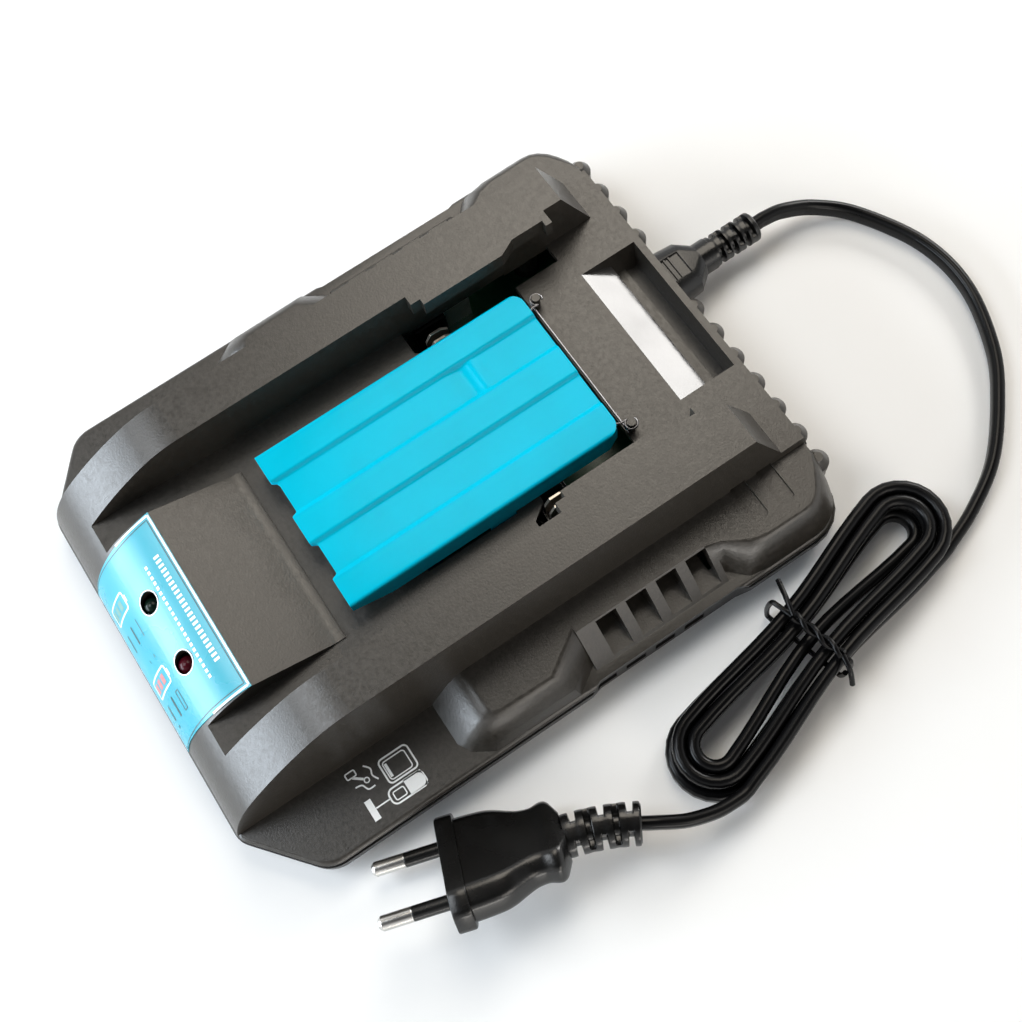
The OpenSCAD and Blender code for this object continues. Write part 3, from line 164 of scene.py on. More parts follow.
def carried(path, section, reference=(0, 0, 1)):
    """Rings of a section along a path: its x along side = t x reference, its y along side x t."""
    t = headings(path)
    side = unit(np.cross(t, reference))
    up = np.cross(side, t)
    section = np.broadcast_to(section, (len(path),) + section.shape[-2:])
    return path[:, None] + section[..., :1] * side[:, None] + section[..., 1:] * up[:, None]


def stadium(width, height, count):
    """Two half circles and the straight sides between them; the taller side stands up."""
    r = min(width, height) / 2
    a = (np.arange(count) + 0.5) / count * 2 * np.pi
    x, y = r * np.cos(a), r * np.sin(a)
    return np.stack([x + np.sign(x) * (width / 2 - r), y + np.sign(y) * (height / 2 - r)], 1)


def eased(points, steps):
    """Catmull-Rom curve: on each span a cubic with slope (next - previous) / 2 at its ends."""
    p = np.asarray(points, float)
    p = np.concatenate([p[:1], p, p[-1:]])
    t = np.linspace(0, 1, steps, endpoint=False)[None, :, None]
    a, b, c, d = (p[k:len(p) - 3 + k, None] for k in range(4))
    curve = 0.5 * (2 * b + (c - a) * t + (2 * a - 5 * b + 4 * c - d) * t ** 2
                   + (3 * b - a - 3 * c + d) * t ** 3)
    return np.concatenate([curve.reshape(-1, p.shape[1]), p[-1:]])


def run_length(path):
    """Sum of the distances between neighbouring points."""
    return float(np.linalg.norm(np.diff(path, axis=0), axis=1).sum())


# %% [markdown]
# ## The mains lead
#
# It is a flat two-core lead, 3.6 by 5.8 mm, that stands on its edge. It leaves the connector,
# swings round in a wide arc, is folded into a hank of four and a quarter turns and ends in the
# plug. The route is the CAD model's own, so the tube lies where its solids are.

# %% Route of the lead
cord_thick, cord_wide = 3.6, 5.8
strand_pitch = cord_thick + 0.5
hank_mid = (94.5, 62.0)
hank_axis = math.radians(-75.3)
hank_run, hank_turns, hank_inner_r, hank_waist = 80.0, 2, 5.0, 2.6
hank_outer_r = hank_inner_r + hank_turns * strand_pitch
layer_z = (cord_wide / 2, cord_wide * 1.5 + 0.5)
tie_d = 1.5
tie_lift = tie_d + 0.35
climb_dip = 1.6


def to_table(u, v, z):
    """Turns hank coordinates, u along it and v across it, by its angle and moves them there."""
    c, s = math.cos(hank_axis), math.sin(hank_axis)
    return np.stack([hank_mid[0] + u * c - v * s, hank_mid[1] + u * s + v * c, z + 0 * u], -1)


def hank_points(per_turn=48):
    """A flat spiral of runs and half-circle folds: in on one layer, up along a run, out again."""
    s = np.arange(int((2 * hank_turns + 0.25) * per_turn) + 1) / per_turn
    q = s % 1
    climb = np.clip((s - hank_turns) / 0.25, 0, 1)
    r = np.where(s < hank_turns, hank_outer_r - strand_pitch * s,
                 np.where(s < hank_turns + 0.25, hank_inner_r - climb_dip * np.sin(np.pi * climb),
                          hank_inner_r + strand_pitch * (s - hank_turns - 0.25)))
    side = np.where(q < 0.5, 1, -1)
    f = (q % 0.5) / 0.25
    z = layer_z[0] + (layer_z[1] - layer_z[0]) * (1 - np.cos(np.pi * climb)) / 2
    pull = np.sin(np.pi * np.clip(f, 0, 1)) ** 2
    fold = np.pi * (f - 1)
    on_run = f <= 1
    u = side * np.where(on_run, hank_run * (f - 0.5), hank_run / 2 + r * np.sin(fold))
    v = side * np.where(on_run, r - hank_waist * pull, r * np.cos(fold))
    return to_table(u, v, z + np.where(on_run, tie_lift * pull, 0))


hank = hank_points()
lead_route = [(-15.2, 129.5, 9), (-14.5, 136, 8), (-11, 146, 5), (-2, 156, 3), (17, 165, 2.9),
              (36, 166, 2.9), (56, 159, 2.9), (70, 149, 2.9), (83, 136, 2.9), (91, 122, 2.9),
              (95.2, 111, 2.9)]
tail_route = [(118.8, 19, 9.6), (118.3, 13, 10.7), (116, 5.5, 12.2)]
lead_start = np.array((-15.2, 125.4, 9.1))
plug_place = np.array((92.7, -53.4))
plug_heading, plug_tilt, plug_bend = map(math.radians, (-106.8, 38, 15))
plug_axis_z, plug_back, plug_sleeve_len = 13.443, 32.0, 20.0
print("hank", round(run_length(hank)), "mm")

# %% [markdown]
# The plug lies on one of its slanting flats. Its sleeve bends a little towards the hank, so the
# lead's last point is found by going back along the plug's axis and round that bend.

# %% The whole lead as one tube
def level(angle):
    """Unit vector at an angle in the table's plane."""
    return np.array((math.cos(angle), math.sin(angle)))


sleeve_r = plug_sleeve_len / plug_bend
along_plug = -(plug_back + sleeve_r * math.sin(plug_bend)) * level(plug_heading)
across_plug = sleeve_r * (1 - math.cos(plug_bend)) * level(plug_heading + math.pi / 2)
tail_end = np.append(plug_place + along_plug + across_plug, plug_axis_z)
tail_dir = np.append(-level(plug_heading - plug_bend), 0)
hank_in, hank_out = headings(hank)[[0, -1]]
lead = eased(np.vstack([[lead_start, lead_start + (0, 2, 0)], lead_route,
                        [hank[0] - 4 * hank_in, hank[0]]]), 8)
tail = eased(np.vstack([[hank[-1], hank[-1] + 4 * hank_out], tail_route,
                        [tail_end + 4 * tail_dir, tail_end]]), 8)
cord_path = np.concatenate([lead[:-1], hank, tail[1:]])


def two_core_section(count=28):
    """A stadium whose flat sides sink a little at the web between the two cores."""
    s = stadium(cord_thick, cord_wide, count)
    groove = 0.16 * np.exp(-(s[:, 1] / 0.5) ** 2)
    s[:, 0] -= np.sign(s[:, 0]) * groove
    return s


mains_lead = loft("mains_lead", carried(cord_path, two_core_section()) * MM, angle=60)
stands_for(mains_lead, "housing", "cord_rubber", "cord_lead", "cord_hank", "cord_tail")

# %% [markdown]
# ## Table and light
#
# The table is a pale sheet in a white room with a dim ceiling, and it runs out to white away
# from the charger. Gloss shows what lies in the mirror direction, so each lamp stands where one
# family of faces mirrors it: the low front window in the nose, the high one in the label, the
# rear one in the latch recess, the side ones in the shoulders and the plug, and the warm one
# overhead in the deck and the rails. The camera, and any gloss or glass, sees the room as white.

# %% Table
half = 3.0                              # half the table's side, in metres
table = keep("table", [(-half, -half, 0), (half, -half, 0), (half, half, 0), (-half, half, 0)],
             [(0, 1, 2, 3)])


# %% Window-like lamps
def window(name, place, width, height, radiance, colour):
    """A lit rectangle that faces the charger. Watts = pi x area x radiance."""
    data = bpy.data.lights.new(name, "AREA")
    data.shape = "RECTANGLE"
    data.size, data.size_y, data.color = width, height, colour
    data.energy = math.pi * width * height * radiance
    obj = bpy.data.objects.new(name, data)
    obj.location = place
    obj.rotation_euler = (-Vector(place)).to_track_quat("-Z", "Y").to_euler()
    scene.collection.objects.link(obj)


window("front_window", (-0.34, -1.22, 0.35), 1.2, 0.60, 11.5, (0.80, 0.90, 1.0))
window("high_window", (-0.40, -0.62, 1.06), 0.52, 0.56, 7.0, (0.90, 0.95, 1.0))
window("rear_window", (-0.43, 1.08, 0.52), 0.50, 0.30, 15.0, (1.0, 0.98, 0.95))
window("side_window", (1.05, 0.22, 0.60), 0.50, 0.50, 3.2, (1.0, 0.92, 0.82))
window("low_window", (1.20, -0.26, 0.13), 0.60, 0.22, 6.5, (1.0, 0.95, 0.88))
window("ceiling_window", (-0.52, 0.38, 1.12), 0.6, 0.70, 4.8, (1.0, 0.92, 0.80))

# %% White room
scene.view_settings.view_transform = "Standard"


def seen_directly(tree):
    """1 for rays of the camera, of gloss and of glass, and 0 for light that falls on things."""
    ray = tree.nodes.new("ShaderNodeLightPath")
    kinds = [ray.outputs[k] for k in ("Is Camera Ray", "Is Glossy Ray", "Is Transmission Ray")]
    for kind in kinds[1:]:
        either = tree.nodes.new("ShaderNodeMath")
        either.operation = "MAXIMUM"
        tree.links.new(kinds[0], either.inputs[0])
        tree.links.new(kind, either.inputs[1])
        kinds[0] = either.outputs[0]
    return kinds[0]


def set_ramp(node, from_min, from_max, to_min, to_max):
    """The four numbers of a Map Range node."""
    for socket, number in (("From Min", from_min), ("From Max", from_max),
                           ("To Min", to_min), ("To Max", to_max)):
        node.inputs[socket].default_value = number


world = bpy.data.worlds.new("studio")
scene.world = world
world.use_nodes = True
wn = world.node_tree
pick = wn.nodes.new("ShaderNodeMixShader")
room = wn.nodes["Background"]
white = wn.nodes.new("ShaderNodeBackground")
room.inputs["Color"].default_value = (0.96, 0.98, 1.0, 1)
room.inputs["Strength"].default_value = 0.06
heading = wn.nodes.new("ShaderNodeTexCoord")
parts_of = wn.nodes.new("ShaderNodeSeparateXYZ")
fade = wn.nodes.new("ShaderNodeMapRange")
set_ramp(fade, 0.5, 0.9, 1.0, 0.08)
wn.links.new(heading.outputs["Generated"], parts_of.inputs[0])
wn.links.new(parts_of.outputs["Z"], fade.inputs["Value"])
wn.links.new(fade.outputs["Result"], white.inputs["Color"])
wn.links.new(seen_directly(wn), pick.inputs["Fac"])
wn.links.new(room.outputs[0], pick.inputs[1])
wn.links.new(white.outputs[0], pick.inputs[2])
wn.links.new(pick.outputs[0], wn.nodes["World Output"].inputs["Surface"])

# %% [markdown]
# ## Materials
#
# All finishes are made of nodes that read Object coordinates. A moulding has two noises: a fine
# one that is raised as the mould's grain, and a speckle that changes gloss and colour a little.

# %% Material helper
def finish_of(name, colour, roughness, specular=0.5, metallic=0.0):
    """A Principled material with its plain numbers on the shader's own sockets."""
    mat = bpy.data.materials.new(name)
    mat.use_nodes = True
    shader = mat.node_tree.nodes["Principled BSDF"]
    shader.inputs["Base Color"].default_value = (*colour, 1)
    shader.inputs["Roughness"].default_value = roughness
    shader.inputs["Metallic"].default_value = metallic
    shader.inputs["Specular IOR Level"].default_value = specular
    shader.inputs["IOR"].default_value = 1.5
    return mat, shader


def noise(mat, size, detail=2.0):
    """Noise whose grains are about one size, in metres, read from Object coordinates."""
    tree = mat.node_tree
    where = tree.nodes.new("ShaderNodeTexCoord")
    grain = tree.nodes.new("ShaderNodeTexNoise")
    grain.inputs["Scale"].default_value = 1 / size
    grain.inputs["Detail"].default_value = detail
    grain.inputs["Roughness"].default_value = 0.5
    tree.links.new(where.outputs["Object"], grain.inputs["Vector"])
    return grain.outputs["Fac"]


def bump(mat, height, depth):
    """Raises the surface by the height value times a depth in metres."""
    node = mat.node_tree.nodes.new("ShaderNodeBump")
    node.inputs["Strength"].default_value = 1.0
    node.inputs["Distance"].default_value = depth
    mat.node_tree.links.new(height, node.inputs["Height"])
    return node.outputs["Normal"]


def spread(mat, value, low, high):
    """Maps a noise's middle half to the range from low to high."""
    node = mat.node_tree.nodes.new("ShaderNodeMapRange")
    set_ramp(node, 0.3, 0.7, low, high)
    mat.node_tree.links.new(value, node.inputs["Value"])
    return node.outputs["Result"]


def moulded(name, colour, roughness, grain=0.00045, depth=0.00004, vary=0.06, tint=0.15,
            specular=0.5, speck=0.02, metallic=0.0):
    """Moulded plastic: grain as bump, a change of gloss and a slight change of colour by specks."""
    mat, shader = finish_of(name, colour, roughness, specular, metallic)
    tree = mat.node_tree
    tree.links.new(bump(mat, noise(mat, grain, 3.0), depth), shader.inputs["Normal"])
    slow = noise(mat, speck, 4.0)
    gloss = spread(mat, slow, roughness - vary, roughness + vary)
    tree.links.new(gloss, shader.inputs["Roughness"])
    mix = tree.nodes.new("ShaderNodeMix")
    mix.data_type = "RGBA"
    mix.inputs["A"].default_value = (*[c * (1 - tint) for c in colour], 1)
    mix.inputs["B"].default_value = (*[min(1, c * (1 + tint)) for c in colour], 1)
    tree.links.new(spread(mat, slow, 0, 1), mix.inputs["Factor"])
    tree.links.new(mix.outputs["Result"], shader.inputs["Base Color"])
    return mat


def dress(piece, material):
    """Gives a piece its material in place of what it had."""
    piece.data.materials.clear()
    piece.data.materials.append(material)


# %% Plastics, rubber and metals
shell_plastic = moulded("shell_plastic", (0.034, 0.030, 0.025), 0.34, grain=0.0006,
                        depth=0.00004, specular=0.6, speck=0.0012, vary=0.06, tint=0.2)
polished_plastic = moulded("polished_plastic", (0.034, 0.032, 0.03), 0.14, grain=0.002,
                           depth=0.00002, specular=0.6)
base_plastic = moulded("base_plastic", (0.02, 0.019, 0.018), 0.4, specular=0.4)
black_plastic = moulded("black_plastic", (0.0022, 0.0022, 0.0022), 0.27, grain=0.0006,
                        depth=0.00003, specular=0.5)
cord_rubber = moulded("cord_rubber", (0.0025, 0.0025, 0.0028), 0.26, grain=0.0008,
                      depth=0.00001, specular=0.17)
foot_rubber = moulded("foot_rubber", (0.02, 0.02, 0.02), 0.75)
cover_plastic = moulded("cover_plastic", (0.0, 0.50, 0.70), 0.16, grain=0.008, depth=0.00005,
                        tint=0.05, vary=0.05, specular=0.08)
label_film = moulded("label_film", (0.02, 0.36, 0.47), 0.3, grain=0.0006, depth=0.00001,
                     tint=0.03, specular=0.6)
green_lens = moulded("green_lens", (0.003, 0.012, 0.007), 0.2, depth=0, vary=0.02, specular=0.2)
red_lens = moulded("red_lens", (0.06, 0.003, 0.008), 0.2, depth=0, vary=0.02, specular=0.2)
bright_steel = moulded("bright_steel", (0.60, 0.59, 0.57), 0.25, depth=0.000005, metallic=1.0)
spring_steel = moulded("spring_steel", (0.20, 0.20, 0.21), 0.3, depth=0.000005, metallic=1.0)
tinned_copper = moulded("tinned_copper", (0.5, 0.45, 0.38), 0.35, depth=0.000005, metallic=1.0)
# The board's green is darkened to near black: painted shade for the inside of the housing, seen
# through the opening.
board_green_painted_shade = moulded("board_green_painted_shade", (0.01, 0.06, 0.025), 0.35)
ferrite_grey = moulded("ferrite_grey", (0.05, 0.05, 0.055), 0.55)
yellow_tape = moulded("yellow_tape", (0.75, 0.55, 0.05), 0.4)
can_sleeve = moulded("can_sleeve", (0.02, 0.03, 0.12), 0.25)
enamelled_wire = moulded("enamelled_wire", (0.6, 0.22, 0.07), 0.25, metallic=0.8)
sawn_aluminium = moulded("sawn_aluminium", (0.7, 0.71, 0.72), 0.4, metallic=1.0)
white_ink = moulded("white_ink", (0.92, 0.93, 0.92), 0.4, depth=0.000003, tint=0.02)
dark_ink = moulded("dark_ink", (0.03, 0.09, 0.1), 0.4, depth=0.000003)
green_ink = moulded("green_ink", (0.16, 0.33, 0.3), 0.4, depth=0.000003)
red_ink = moulded("red_ink", (0.55, 0.2, 0.2), 0.4, depth=0.000003)
dress(mains_lead, cord_rubber)

table_mat, table_shader = finish_of("table_white", (0.92, 0.92, 0.915), 0.7, specular=0.2)
tt = table_mat.node_tree
tt.links.new(spread(table_mat, noise(table_mat, 0.3), 0.66, 0.74), table_shader.inputs["Roughness"])
where, far, ramp, glow = (tt.nodes.new("ShaderNode" + kind) for kind in
                          ("TexCoord", "VectorMath", "MapRange", "Math"))
far.operation, glow.operation = "LENGTH", "MULTIPLY"
set_ramp(ramp, 0.30, 0.85, 0.03, 1.0)
tt.links.new(where.outputs["Object"], far.inputs[0])
tt.links.new(far.outputs["Value"], ramp.inputs["Value"])
tt.links.new(ramp.outputs["Result"], glow.inputs[1])
tt.links.new(seen_directly(tt), glow.inputs[0])
table_shader.inputs["Emission Color"].default_value = (1, 1, 1, 1)
tt.links.new(glow.outputs[0], table_shader.inputs["Emission Strength"])
dress(table, table_mat)

FINISHES = {
    "upper_housing": shell_plastic, "lower_housing": base_plastic, "rubber_feet": foot_rubber,
    "housing_screws": bright_steel, "board_screws": bright_steel, "front_label": label_film,
    "green_led": green_lens, "red_led": red_lens, "terminal_cover": cover_plastic,
    "cover_spring_left": spring_steel, "cover_spring_right": spring_steel,
    "spring_wire_rod": spring_steel, "terminal_block": black_plastic,
    "power_terminals": tinned_copper, "signal_terminals": tinned_copper,
    "circuit_board": board_green_painted_shade, "transformer_core": ferrite_grey,
    "transformer_winding": yellow_tape, "mains_capacitors": can_sleeve,
    "output_capacitors": can_sleeve, "line_choke": enamelled_wire, "fuse": bright_steel,
    "heat_sinks": sawn_aluminium, "power_transistors": black_plastic,
    "mains_inlet": black_plastic, "inlet_pins": bright_steel, "cord_connector": black_plastic,
    "connector_sleeve": black_plastic, "cord_lead": cord_rubber, "cord_hank": cord_rubber,
    "cord_tail": cord_rubber, "twist_tie": cord_rubber, "mains_plug": black_plastic,
    "plug_sleeve": black_plastic, "plug_pins": bright_steel, "pin_sleeves": black_plastic,
}
for node_name, material in FINISHES.items():
    dress(nodes[node_name], material)

# %% [markdown]
# ## Moulded edges
#
# The CAD solids have sharp edges, and real mouldings don't: each edge has a small radius that
# catches the light. A copy of the solid is merged, its flat faces are joined again, and a narrow
# bevel goes along every edge.

# %% Copies with rounded edges
def edge_finish(piece, radius, angle=30):
    """A bevel of that radius on each edge, and normals led by the large faces beside it."""
    edge = piece.modifiers.new("edge", "BEVEL")
    edge.width = radius
    edge.segments = 2
    edge.limit_method = "ANGLE"
    edge.angle_limit = math.radians(angle)
    even = piece.modifiers.new("even", "WEIGHTED_NORMAL")
    even.keep_sharp = True


def moulded_copy(node_name, piece_name, body, radius, slot, angle=30):
    """A merged copy of a CAD node with a bevel of that radius, which stands for the node."""
    piece = bpy.data.objects.new(piece_name, nodes[node_name].data.copy())
    scene.collection.objects.link(piece)
    work = bmesh.new()
    work.from_mesh(piece.data)
    bmesh.ops.remove_doubles(work, verts=work.verts, dist=1e-6)
    bmesh.ops.dissolve_limit(work, angle_limit=math.radians(0.5), verts=work.verts,
                             edges=work.edges)
    work.to_mesh(piece.data)
    work.free()
    smooth_below(piece, angle)
    edge_finish(piece, radius, angle)
    stands_for(piece, body, slot, node_name)
    return piece


upper_shell = moulded_copy("upper_housing", "upper_shell", "housing", 0.0005, "shell")
moulded_copy("lower_housing", "lower_shell", "housing", 0.0003, "base")
moulded_copy("front_label", "label_skin", "housing", 0.00006, "label", 40)
moulded_copy("green_led", "green_window", "housing", 0.0001, "green_lens", 50)
moulded_copy("red_led", "red_window", "housing", 0.0001, "red_lens", 50)
for small, radius, slot in (("cord_connector", 0.3, "black_plastic"),
                            ("terminal_block", 0.15, "black_plastic"),
                            ("power_terminals", 0.08, "contact"),
                            ("signal_terminals", 0.08, "contact"),
                            ("mains_inlet", 0.2, "black_plastic")):
    moulded_copy(small, small + "_moulded", "housing", radius * MM, slot)

# %% [markdown]
# The front wall of the latch recess is polished and bright: it slopes gently to the rear, and
# then drops steeply to the narrow floor. The solid has a plain slope there, so the wall's lower
# edge is lifted by 3.8 mm along the recess's side walls, and its face gets the polished finish.

# %% Front wall of the latch recess
latch_start, latch_edge, edge_z = 68.4, 79.4, 17.3   # y of the wall's start, y and z of its edge
latch_half, latch_lift, side_slope, near = 24, 3.8, 0.175, 0.2
mesh = upper_shell.data
place = np.empty(len(mesh.vertices) * 3)
mesh.vertices.foreach_get("co", place)
place = place.reshape(-1, 3) / MM
lifted = ((np.abs(place[:, 1] - latch_edge) < near) & (np.abs(place[:, 2] - edge_z) < near)
          & (np.abs(place[:, 0]) < latch_half))
place[lifted] += np.array((0, 0, latch_lift))
place[lifted, 0] += np.sign(place[lifted, 0]) * side_slope * latch_lift
mesh.vertices.foreach_set("co", (place * MM).ravel())
mesh.update()
middle, facing = np.empty(len(mesh.polygons) * 3), np.empty(len(mesh.polygons) * 3)
mesh.polygons.foreach_get("center", middle)
mesh.polygons.foreach_get("normal", facing)
middle, facing = middle.reshape(-1, 3) / MM, facing.reshape(-1, 3)
on_wall = ((np.abs(middle[:, 0]) < latch_half - 1) & (middle[:, 1] > latch_start)
           & (middle[:, 1] < latch_edge) & (facing[:, 1] > 0.2) & (facing[:, 2] > 0.7))
upper_shell.data.materials.append(polished_plastic)
mesh.polygons.foreach_set("use_smooth", ~on_wall)
mesh.polygons.foreach_set("material_index", on_wall.astype(int))
print("lifted", lifted.sum(), "points, polished", on_wall.sum(), "faces")

# %% [markdown]
# ## The sliding cover
#
# The cover is one glossy moulding: a plate with three raised bands, two sunk ones between them
# and a thin wall down each side. Its section is drawn once, outside and inside, and carried from
# the front edge to the rear one. The front edge steps back at the sunk bands and the rear
# corners are round, so each point of the section has its own first and last station.

# %% Section of the cover
SHIFT = -95.0                          # from the CAD drawing's own Y to the shared frame, in mm
cover_half, cover_top, cover_y, cover_rear = 25.5, 36.0, 58.5, 144.0
cover_low, cover_wall, cover_plate, band_depth = 27.4, 1.8, 2.5, 1.0
cover_slope = 0.4006
bands = np.array([0.18, 0.40, 0.595, 0.81]) * 2 * cover_half - cover_half


def eased_step(t):
    """Smooth rise from 0 to 1: 3t^2 - 2t^3 between the two ends."""
    t = np.clip(t, 0, 1)
    return t * t * (3 - 2 * t)


def sunk(x, soft=0.7):
    """1 inside the two sunk bands and 0 outside, with soft sides."""
    rise = [eased_step((x - b) / (2 * soft) + 0.5) for b in bands]
    return rise[0] - rise[1] + rise[2] - rise[3]


def cover_section(half, top, corner, count=150):
    """Left foot, left wall, plate and right wall: x across and the height as a share of each."""
    up = np.linspace(0, 1, 6)[:-1]
    turn = np.linspace(0, np.pi / 2, 7)
    across = np.linspace(-half + corner, half - corner, count)[1:-1]
    x = np.concatenate([0 * up - half, -half + corner * (1 - np.cos(turn)), across,
                        half - corner * (1 - np.cos(turn[::-1])), 0 * up + half])
    drop = np.concatenate([0 * up, corner * (1 - np.sin(turn)), 0 * across,
                           corner * (1 - np.sin(turn[::-1])), 0 * up])
    wall = np.concatenate([up, 0 * turn + 1, 0 * across + 1, 0 * turn + 1, up[::-1]])
    return x, top - drop, wall


# %% Skin of the cover
rear_round = 4.0
along = np.concatenate([[0, 0.004, 0.012, 0.03], np.linspace(0.06, 0.94, 45), [0.97, 0.988, 1]])
outer_x, outer_z, outer_wall = cover_section(cover_half, cover_top, 0.9)
inner_x, inner_z, inner_wall = cover_section(cover_half - cover_wall, cover_top - cover_plate, 0.5)
x = np.concatenate([outer_x, inner_x[::-1]])
top_z = np.concatenate([outer_z, inner_z[::-1]])
is_wall = np.concatenate([outer_wall, inner_wall[::-1]])
outside = np.arange(len(x)) < len(outer_x)
first = cover_y + 1.7 * sunk(x)
bend = np.clip(np.abs(x) - (cover_half - rear_round), 0, rear_round)
last = cover_rear - (rear_round - np.sqrt(rear_round ** 2 - bend ** 2)) * outside
last = last - 0.3 * ~outside
y = first + along[:, None] * (last - first)
foot = np.maximum(cover_low, cover_low + cover_slope * (cover_y + 11.8 - y))
plate = top_z - band_depth * sunk(x) * outside
slot_floor = eased_step((y - 115.3) / 0.5) - eased_step((y - 120.2) / 0.5)
ridge = eased_step((y - 120.6) / 0.4) - eased_step((y - 123.0) / 0.6)
in_left = (eased_step((x - bands[0]) / 1.2) - eased_step((x - bands[1] + 1.2) / 1.2)) * outside
z = foot + is_wall * (plate - foot) - in_left * (0.55 * slot_floor - 0.35 * ridge)
skin = np.stack([x + 0 * y, y + SHIFT, z], -1) * MM
rows, columns = skin.shape[:2]
n_out = len(outer_x)
cap = np.arange(n_out - 1)
mate = columns - 1 - cap
rim = np.stack([cap, cap + 1, mate - 1, mate], 1)
faces = np.concatenate([cells(rows, columns), rim, rim + (rows - 1) * columns])
print("cover skin", rows, "x", columns)


# %% Feet and hooks of the cover
def block(low, high):
    """The eight corners and six faces of an upright block between two corners, in mm."""
    grid = np.stack(np.meshgrid([0, 1], [0, 1], [0, 1], indexing="ij"), -1).reshape(-1, 3)
    points = np.asarray(low) + grid * (np.asarray(high, float) - low)
    return points, [[0, 1, 3, 2], [4, 6, 7, 5], [0, 4, 5, 1],
                    [2, 3, 7, 6], [0, 2, 6, 4], [1, 5, 7, 3]]


def together(parts):
    """One array of points and one list of faces from several, with the faces counted on."""
    start = np.cumsum([0] + [len(p) for p, _ in parts[:-1]])
    return (np.concatenate([p for p, _ in parts]),
            [[int(i + k) for i in f] for (_, faces), k in zip(parts, start) for f in faces])


def tube(path, section, reference=(0, 0, 1)):
    """Points and faces of a closed tube: a section carried along a path, with flat ends."""
    rings = carried(np.asarray(path, float), section, reference)
    return rings.reshape(-1, 3), skin_faces(*rings.shape[:2])


def disc(radius, count):
    """Points of a circle: r cos a, r sin a."""
    a = np.arange(count) / count * 2 * np.pi
    return radius * np.stack([np.cos(a), np.sin(a)], 1)


leg_y, leg_foot, hook_y, spring_z, post_r = 101.25 + SHIFT, 22.3, 78.5 + SHIFT, 29.5, 1.2
spring_x, post_x, post_y = 21.55, 23.25, 148.6 + SHIFT
hook_x = spring_x - 0.6
parts = [(skin.reshape(-1, 3) / MM, faces.tolist())]
for side in (-1, 1):
    inside, barb_x = sorted((side * 23.7, side * 25.5)), side * 26.7
    parts.append(block((inside[0], leg_y, leg_foot), (inside[1], leg_y + 8, cover_low + 0.1)))
    barb = sorted((side * 23.7, barb_x))
    parts.append(block((barb[0], leg_y, leg_foot), (barb[1], leg_y + 8, leg_foot + 1.2)))
    parts.append(tube([(side * hook_x, hook_y, spring_z - 1.2), (side * hook_x, hook_y, 33.6)],
                      disc(post_r, 24), (0, 1, 0)))
points, faces = together(parts)
terminal_shield = closed("terminal_shield", points * MM, faces, 40)
edge_finish(terminal_shield, 0.22 * MM, 50)
dress(terminal_shield, cover_plastic)
stands_for(terminal_shield, "cover", "cover", "terminal_cover")
print("cover", len(points), "points")

# %% [markdown]
# ## Springs
#
# Two long extension springs pull the cover back over the terminals. Each is one wire: an eye
# round a post, an open coil and an eye round the cover's hook. As the cover slides, the coil
# stretches between the two.

# %% Spring wire
wire = disc(0.35, 8)
coil_from, coil_to, coil_turns, coil_r, eye_r = 85.5 + SHIFT, 141.6 + SHIFT, 14, 1.4, 1.7


def round_eye(centre, first_angle, last_angle, count=28):
    """Arc of the eye's radius round a post, between two angles in degrees."""
    a = np.radians(np.linspace(first_angle, last_angle, count))
    return np.stack([centre[0] + eye_r * np.cos(a), centre[1] + eye_r * np.sin(a),
                     0 * a + spring_z], 1)


a = np.linspace(0, coil_turns * 2 * np.pi, coil_turns * 20 + 1)
coil = np.stack([spring_x - coil_r * np.cos(a), coil_from + (coil_to - coil_from) * a / a[-1],
                 spring_z + coil_r * np.sin(a)], 1)
front_eye = np.vstack([round_eye((hook_x, hook_y), -200, 60),
                       eased([(hook_x + 0.4, hook_y + 3.2, spring_z),
                              (spring_x - 1.1, coil_from - 2, spring_z - 0.2), coil[0]], 5)])
rear_eye = np.vstack([eased([coil[-1], (spring_x - 1.1, coil_to + 2, spring_z + 0.2),
                             (post_x - 1.6, post_y - 2.2, spring_z)], 5),
                      round_eye((post_x, post_y), 190, 480)])
points, faces = together([tube(front_eye, wire), tube(coil, wire, (0, 1, 0)), tube(rear_eye, wire)])
for side, name in ((1, "right"), (-1, "left")):
    spring = closed(f"spring_{name}", points * (side, 1, 1) * MM, faces, 50)
    dress(spring, spring_steel)
    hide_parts(f"cover_spring_{name}")
    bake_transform(spring)
rod_y, rod_x = post_y - post_r - 0.35, post_x + post_r
points, faces = tube([(-rod_x, rod_y, 27.5), (rod_x, rod_y, 27.5)], disc(0.35, 16))
stop_rod = closed("stop_rod", points * MM, faces, 50)
dress(stop_rod, spring_steel)
stands_for(stop_rod, "housing", "steel", "spring_wire_rod")
print("coil", round(run_length(coil)), "mm of wire")

# %% [markdown]
# ## Mains plug
#
# A flat two-pin plug: a collar at the pins, a body with a flat top whose flanks draw in to a
# waist for the fingers, and a flare at the end. Eight corners describe each cross-section, and
# their half sizes at a few stations are joined with one smooth curve.

